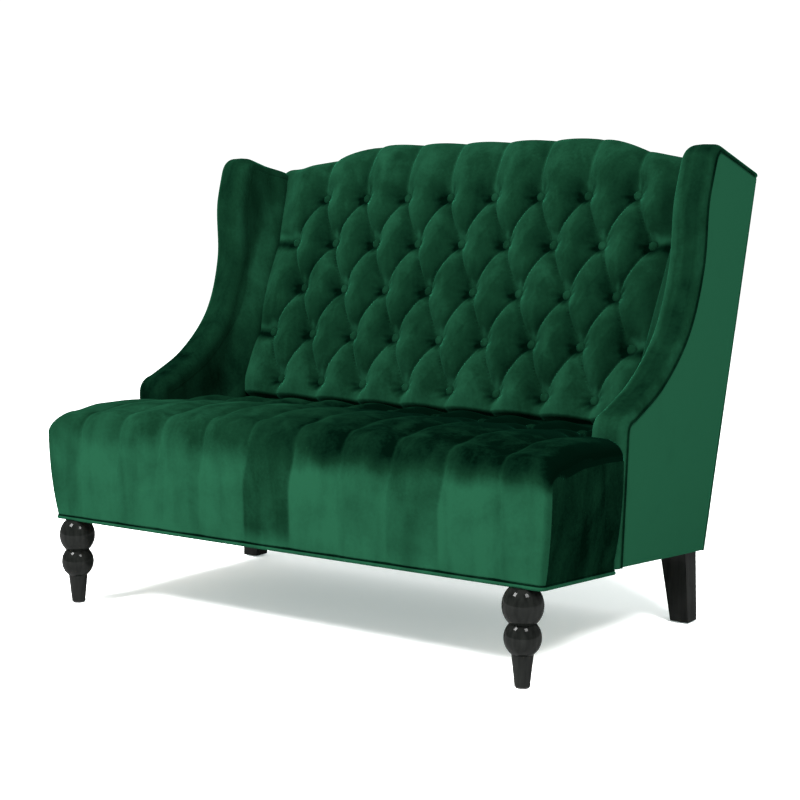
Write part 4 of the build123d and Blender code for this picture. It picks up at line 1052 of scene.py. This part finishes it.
def cover_buttons(name, spots, normal, node, material, nap_and_shading):
    """One mesh of buttons on spots, facing along normal."""
    holder = make_object(name + "_points", spots, [])
    adding = holder.modifiers.new("buttons", "NODES")
    adding.node_group = button_nodes
    keys = {s.name: s.identifier for s in button_nodes.interface.items_tree if s.in_out == "INPUT"}
    adding[keys["Turn"]] = Vector(normal).to_track_quat("Z", "Y").to_euler()
    adding[keys["Material"]] = material
    depsgraph = bpy.context.evaluated_depsgraph_get()
    mesh = bpy.data.meshes.new_from_object(holder.evaluated_get(depsgraph), depsgraph=depsgraph)
    bpy.data.objects.remove(holder)
    made = bpy.data.objects.new(name, mesh)
    bpy.context.scene.collection.objects.link(made)
    lay_nap_and_shading(made, np.full(len(mesh.vertices), nap_and_shading))
    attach(made, "root")
    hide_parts(node)
    return made


def button_line(count, pitch):
    """x of each of count buttons, two pitches apart, round the middle."""
    return [(2 * k - count + 1) * pitch for k in range(count)]


print("a row of three:", button_line(3, BACK_PITCH))

# %% [markdown]
# ## Materials
# Each material is a small tree of nodes. Pictures of cloth and wood would need
# unwrapping and would repeat. Noise on object coordinates needs no unwrapping and
# keeps its size on every piece. A few helpers keep each tree short.

# %% Material tools


def add(tree, kind, settings=None, **given):
    """A shader node; each given input is a value or another node's output."""
    made = tree.nodes.new("ShaderNode" + kind)
    for key, value in (settings or {}).items():
        setattr(made, key, value)
    for key, value in given.items():
        socket = made.inputs[key.replace("_", " ")]
        if isinstance(value, bpy.types.NodeSocket):
            tree.links.new(value, socket)
        else:
            socket.default_value = value
    return made


def cloud(tree, scale, stretch=(1, 1, 1), detail=3.0, warp=0.0):
    """Noise on object coordinates, scale being how many waves go in a metre."""
    place = add(tree, "TexCoord").outputs["Object"]
    moved = add(tree, "Mapping", Vector=place, Scale=stretch).outputs["Vector"]
    noisy = add(tree, "TexNoise", Vector=moved, Scale=scale, Detail=detail, Distortion=warp)
    return noisy.outputs["Fac"]


def blend(tree, a, b, factor, how="MIX"):
    """Two numbers or colours joined as how says."""
    mixed = add(tree, "MixRGB", {"blend_type": how}, Fac=factor, Color1=a, Color2=b)
    return mixed.outputs["Color"]


def paint(tree, shader, socket, factor, *stops):
    """A ramp through (place, colour) stops into a shader's socket; a number is a grey."""
    made = add(tree, "ValToRGB", Fac=factor)
    elements = made.color_ramp.elements
    while len(elements) < len(stops):
        elements.new(0.5)
    for element, (place, colour) in zip(elements, stops):
        element.position = place
        element.color = (*(colour if isinstance(colour, tuple) else (colour,) * 3), 1.0)
    tree.links.new(made.outputs["Color"], shader.inputs[socket])


def surface(name, **given):
    """A new material, its tree and its shader, with fixed values on the shader."""
    made = bpy.data.materials.new(name)
    made.use_nodes = True
    shader = made.node_tree.nodes["Principled BSDF"]
    for key, value in given.items():
        shader.inputs[key.replace("_", " ")].default_value = value
    return made, made.node_tree, shader


def raise_bumps(tree, shader, *layers):
    """Chained bumps, each a (height output, strength, distance in mm)."""
    last = None
    for height, strength, distance in layers:
        made = add(tree, "Bump", Height=height, Strength=strength, Distance=distance * MM)
        if last:
            tree.links.new(last.outputs[0], made.inputs["Normal"])
        last = made
    tree.links.new(last.outputs[0], shader.inputs["Normal"])


print("materials so far:", len(bpy.data.materials))

# %% [markdown]
# Velvet is bright seen along its short pile and nearly black seen into it, and a
# hand leaves marks where it turns the pile. Sheen alone can't show that, because it
# doesn't know how the pile lies. So each piece's nap and shading, with smudges,
# streaks and fine grain added, runs through a ramp from near black to emerald, under
# a thin sheen. The ramp paints the pile's sheen, and the painted light and shade that
# the nap carries.

# %% Velvet
SHEEN_TINT = (0.07, 0.55, 0.30, 1.0)
# ramp colours: dark pile and painted shade, a middle green, bright pile with painted light and sheen
DARK_PILE_AND_SHADE, MIDDLE_GREEN = (0.0001, 0.0014, 0.0007), (0.0013, 0.0085, 0.0040)
BRIGHT_PILE_AND_LIGHT = (0.0043, 0.0260, 0.0132)


def velvet(name, sheen, lift=0.0, uneven=1.0):
    """Green velvet coloured from the nap and its painted light and shade, with smudges where the pile
    lies another way, streaks, and fine pile.
    """
    made, tree, shader = surface(
        name, Metallic=0.0, Sheen_Weight=sheen, Sheen_Roughness=0.25,
        Specular_IOR_Level=0.0, Sheen_Tint=SHEEN_TINT
    )
    laid = add(tree, "Attribute", {"attribute_name": "nap_and_shading"}).outputs["Fac"]
    smudge = cloud(tree, 9.0, detail=4.0, warp=1.2)
    streak = cloud(tree, 5.0, (5.0, 5.0, 1.1), warp=0.6)
    mottle = blend(tree, smudge, streak, 0.5)
    mottle = blend(tree, mottle, cloud(tree, 160.0, detail=2.0), 0.18)
    swing = add(tree, "Math", {"operation": "MULTIPLY_ADD"})
    tree.links.new(mottle, swing.inputs[0])
    swing.inputs[1].default_value = uneven
    swing.inputs[2].default_value = lift - 0.5 * uneven
    nap_and_shading = add(tree, "Math", {"operation": "ADD"})
    tree.links.new(laid, nap_and_shading.inputs[0])
    tree.links.new(swing.outputs[0], nap_and_shading.inputs[1])
    greens = (0.02, DARK_PILE_AND_SHADE), (0.40, MIDDLE_GREEN), (0.90, BRIGHT_PILE_AND_LIGHT)
    paint(tree, shader, "Base Color", nap_and_shading.outputs[0], *greens)
    paint(tree, shader, "Roughness", nap_and_shading.outputs[0], (0.1, 0.9), (0.9, 0.62))
    fuzz = cloud(tree, 1400.0, detail=2.0)
    crush = cloud(tree, 55.0, warp=0.8)
    raise_bumps(tree, shader, (crush, 0.2, 1.0), (fuzz, 0.2, 0.4))
    return made


velvet_cloth = velvet("velvet", 0.16)
velvet_pressed = velvet("velvet_pressed", 0.03)
velvet_smooth = velvet("velvet_smooth", 0.12, uneven=0.4)
velvet_piping = velvet("velvet_piping", 0.10, lift=0.05)
print("velvet has", len(velvet_cloth.node_tree.nodes), "nodes")

# %% [markdown]
# The legs are stained nearly black and lacquered: a thin clear coat over a dark base
# gives narrow highlights, and the grain barely shows. The frame is sawn wood hidden
# by the cover, so noise stretched along each piece is enough for its grain.

# %% Woods
FINE_GRAIN, PALE_BEECH, DARK_BEECH = (22, 22, 1.6), (0.52, 0.36, 0.20), (0.33, 0.20, 0.10)


def lacquered_wood():
    """Near-black polished wood with a thin clear coat and faint grain."""
    made, tree, shader = surface(
        "polished_wood", Coat_Weight=0.07, Coat_Roughness=0.07, Specular_IOR_Level=0.0
    )
    grain = cloud(tree, 6.0, FINE_GRAIN, 5.0, warp=0.5)
    wear = cloud(tree, 30.0, detail=4.0)
    stain = (0.35, (0.0015, 0.0018, 0.0016)), (0.65, (0.0045, 0.0050, 0.0045))
    paint(tree, shader, "Base Color", blend(tree, grain, wear, 0.3), *stain)
    paint(tree, shader, "Roughness", wear, (0.3, 0.12), (0.7, 0.2))
    raise_bumps(tree, shader, (grain, 0.12, 0.3))
    return made


def plain_wood(name, light, dark, stretch):
    """Unfinished wood with grain along one axis and a few pores."""
    made, tree, shader = surface(name)
    grain = cloud(tree, 5.0, stretch, 6.0, warp=0.7)
    pores = cloud(tree, 90.0, stretch, 2.0)
    paint(tree, shader, "Base Color", blend(tree, grain, pores, 0.3), (0.35, dark), (0.65, light))
    paint(tree, shader, "Roughness", pores, (0.3, 0.6), (0.7, 0.85))
    raise_bumps(tree, shader, (pores, 0.3, 0.3))
    return made


lacquer = lacquered_wood()
beech_across = plain_wood("frame_wood_across", PALE_BEECH, DARK_BEECH, (1.2, 16, 16))
beech_upright = plain_wood("frame_wood_upright", PALE_BEECH, DARK_BEECH, (16, 16, 1.2))
plywood = plain_wood("frame_plywood", (0.60, 0.44, 0.27), (0.42, 0.28, 0.15), (9, 1.5, 9))
print("lacquer has", len(lacquer.node_tree.nodes), "nodes, beech", len(beech_across.node_tree.nodes))

# %% [markdown]
# Springs, clips, bolts and leg plates are steel: fully metallic, with scuffs that
# change how sharply they reflect. The cloth under the seat is a thin black weave,
# two crossed waves. The glides are hard plastic with a fine grain.

# %% Metal, bottom cloth and plastic


def metal(name, colour, rough):
    """Bare or plated metal with light scuffs."""
    made, tree, shader = surface(name, Metallic=1.0)
    scuff = cloud(tree, 120.0, detail=4.0)
    dark = tuple(c * 0.55 for c in colour)
    paint(tree, shader, "Base Color", scuff, (0.35, dark), (0.6, colour))
    paint(tree, shader, "Roughness", scuff, (0.3, rough * 0.7), (0.7, rough * 1.4))
    return made


def woven(name, light, dark, threads):
    """Plain woven cloth: warp and weft as two crossed waves."""
    made, tree, shader = surface(name, Roughness=0.9)
    place = add(tree, "TexCoord").outputs["Object"]
    given = dict(Vector=place, Scale=threads, Distortion=0.6)
    waved = [add(tree, "TexWave", {"bands_direction": axis}, **given) for axis in "XY"]
    weave = blend(tree, *[wave.outputs["Fac"] for wave in waved], 1.0, "DIFFERENCE")
    mixed = blend(tree, weave, cloud(tree, 8.0, detail=4.0), 0.45)
    paint(tree, shader, "Base Color", mixed, (0.2, dark), (0.8, light))
    raise_bumps(tree, shader, (weave, 0.4, 0.5))
    return made


def moulded(name, light, dark):
    """Moulded plastic with a fine grain."""
    made, tree, shader = surface(name, Roughness=0.5)
    grain = cloud(tree, 700.0, detail=2.0)
    paint(tree, shader, "Base Color", grain, (0.3, dark), (0.7, light))
    raise_bumps(tree, shader, (grain, 0.3, 0.2))
    return made


steel = metal("spring_steel", (0.42, 0.43, 0.45), 0.35)
zinc = metal("zinc_steel", (0.66, 0.66, 0.64), 0.3)
bottom_cloth = woven("bottom_cloth", (0.030, 0.030, 0.032), (0.012, 0.012, 0.013), 260.0)
plastic = moulded("glide_plastic", (0.030, 0.028, 0.027), (0.016, 0.015, 0.015))
print("materials:", len(bpy.data.materials))

# %% [markdown]
# ## Dressing the pieces
# The CAD's own pieces lose their flat colours, and each soft piece gets one of four
# velvets of the same green: brushed, pressed where people sit, evenly laid outside,
# and drawn tight over cord. On the seat, the way a face looks decides between two.

# %% Materials on the pieces
RAILS = "seat_front_rail seat_back_rail seat_side_rail_right seat_side_rail_left seat_centre_rail"
NODE_MATERIALS = (
    (lacquer, "front_leg_right front_leg_left rear_leg_right rear_leg_left"),
    (beech_across, RAILS + " corner_blocks back_top_rail back_lower_rail"),
    (beech_upright, "back_post_right back_post_left back_centre_stile"),
    (plywood, "wing_board_right wing_board_left"),
    (steel, "seat_springs spring_clips"),
    (zinc, "leg_bolts leg_plates"),
    (plastic, "leg_glides"),
)
for material, nodes in NODE_MATERIALS:
    for node in nodes.split():
        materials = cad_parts[node].data.materials
        materials.clear()
        materials.append(material)
for material, pieces in (
    (velvet_cloth, [settee_back, seat, *wing_pieces]),
    (velvet_smooth, [outside, *panels]),
    (velvet_piping, [piping, lip, *welts]),
    (velvet_pressed, [seat, *sides]),
):
    for piece in pieces:
        piece.data.materials.append(material)
SITTING_SLOPE = 0.35  # least upward part of the normal where people sit
for face in seat.data.polygons:
    face.material_index = int(face.normal.z > SITTING_SLOPE)
print("dressed nodes:", sum(len(nodes.split()) for _, nodes in NODE_MATERIALS))

# %% [markdown]
# ## Buttons in their places
# Each button is tied through the padding, at the bottom of a pit. Its place is the
# lattice point that dug the pit: rows of eight and nine in turn on the back, and
# rows of ten and nine on the seat.

# %% Buttons on the back and on the seat
BUTTON_PROUD, BUTTON_SUNK = 1.5, 16.0  # in front of the back's plane, and below the seat's top
back_spots = [
    LOW_ROW + UP_BACK * BACK_GAP * row + OUT_BACK * BUTTON_PROUD + (x, 0, 0)
    for row in range(BACK_ROWS)
    for x in button_line(8 + row % 2, BACK_PITCH)
]
# the back buttons' nap is a little darker than the cloth round them: painted shade of the pits they
# sit in
back_buttons = cover_buttons(
    "buttons_on_back", back_spots, OUT_BACK, "back_buttons", velvet_cloth, 0.42
)
seat_spots = [
    (x, y, AXIS_Z + float(creased_rise(x, y)) - BUTTON_SUNK)
    for count, y in ((10, SEAT_ROW_Y), (9, SEAT_ROW_Y + SEAT_ROW_GAP))
    for x in button_line(count, SEAT_PITCH)
]
seat_buttons = cover_buttons(
    "buttons_on_seat", seat_spots, (0, 0, 1), "seat_buttons", velvet_pressed, 0.15
)
print(len(back_spots), "back buttons,", len(seat_spots), "seat buttons")

# %% [markdown]
# ## Bottom cloth
# A thin cloth is stretched flat under the seat rails and keeps dust off the
# springs. It hardly sags, so a cloth simulation would show little that a flat grid
# with a small sag worked out doesn't. It takes its size from the CAD's own cloth.

# %% Bottom cloth
CLOTH_SAG = 2.0  # in the middle
low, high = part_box("dust_cover")
columns, rows = 60, 40
across = np.linspace(low.x, high.x, columns) / MM
deep = np.linspace(low.y, high.y, rows) / MM
grid = np.stack(np.meshgrid(across, deep), -1)
from_middle = np.meshgrid(np.linspace(-1, 1, columns), np.linspace(-1, 1, rows))
sag = CLOTH_SAG * np.cos(pi / 2 * from_middle[0]) * np.cos(pi / 2 * from_middle[1])
height = low.z / MM + 0.5 - sag
cloth_points = np.concatenate([grid, height[:, :, None]], -1).reshape(-1, 3)
cloth = make_object("bottom_cloth", cloth_points, grid_faces(rows, columns, flip=True))
cloth.data.materials.append(bottom_cloth)
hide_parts("dust_cover")

# %% [markdown]
# ## Studio
# The settee stands on a pale floor in a white surround, with soft shadows under its
# legs. Two large lights and a floor that glows a little give that. Small lights
# would draw hard shadows between the pillows.

# %% Studio floor
FLOOR_HALF = 9


def floor_material():
    """A matt near-white floor with a faint mottle, glowing a little so shadows stay pale."""
    made, tree, shader = surface(
        "studio_floor", Roughness=0.9, Emission_Strength=0.30,
        Emission_Color=(0.75, 0.92, 0.88, 1.0)
    )
    paint(tree, shader, "Base Color", cloud(tree, 2.0), (0.3, 0.93), (0.7, 0.95))
    return made


floor_mesh = bpy.data.meshes.new("floor")
corners = [(x * FLOOR_HALF, y * FLOOR_HALF, 0) for x, y in ((-1, -1), (1, -1), (1, 1), (-1, 1))]
floor_mesh.from_pydata(corners, [], [(0, 1, 2, 3)])
floor_mesh.materials.append(floor_material())
floor = bpy.data.objects.new("floor", floor_mesh)
bpy.context.scene.collection.objects.link(floor)
print("floor:", 2 * FLOOR_HALF, "m wide")

# %% Lights and surround
LIGHT_SIZE, SETTEE_MIDDLE = 1.3, (0.0, 0.0, 0.5)


def soft_light(name, place, power):
    """A large square area light aimed at the middle of the settee."""
    lamp = bpy.data.objects.new(name, bpy.data.lights.new(name, "AREA"))
    bpy.context.scene.collection.objects.link(lamp)
    lamp.data.shape = "SQUARE"
    lamp.data.size = LIGHT_SIZE
    lamp.data.energy = power
    lamp.location = place
    lamp.rotation_mode = "QUATERNION"
    lamp.rotation_quaternion = (Vector(place) - Vector(SETTEE_MIDDLE)).to_track_quat("Z", "Y")


world = bpy.data.worlds.new("studio")
world.use_nodes = True
background = world.node_tree.nodes["Background"]
background.inputs["Color"].default_value = (1, 1, 1, 1)
background.inputs["Strength"].default_value = 1.1
bpy.context.scene.world = world
soft_light("front_left", (-1.3, -3.0, 3.5), 750)
soft_light("right", (3.1, -1.6, 3.6), 420)
bpy.context.scene.view_settings.view_transform = "Standard"
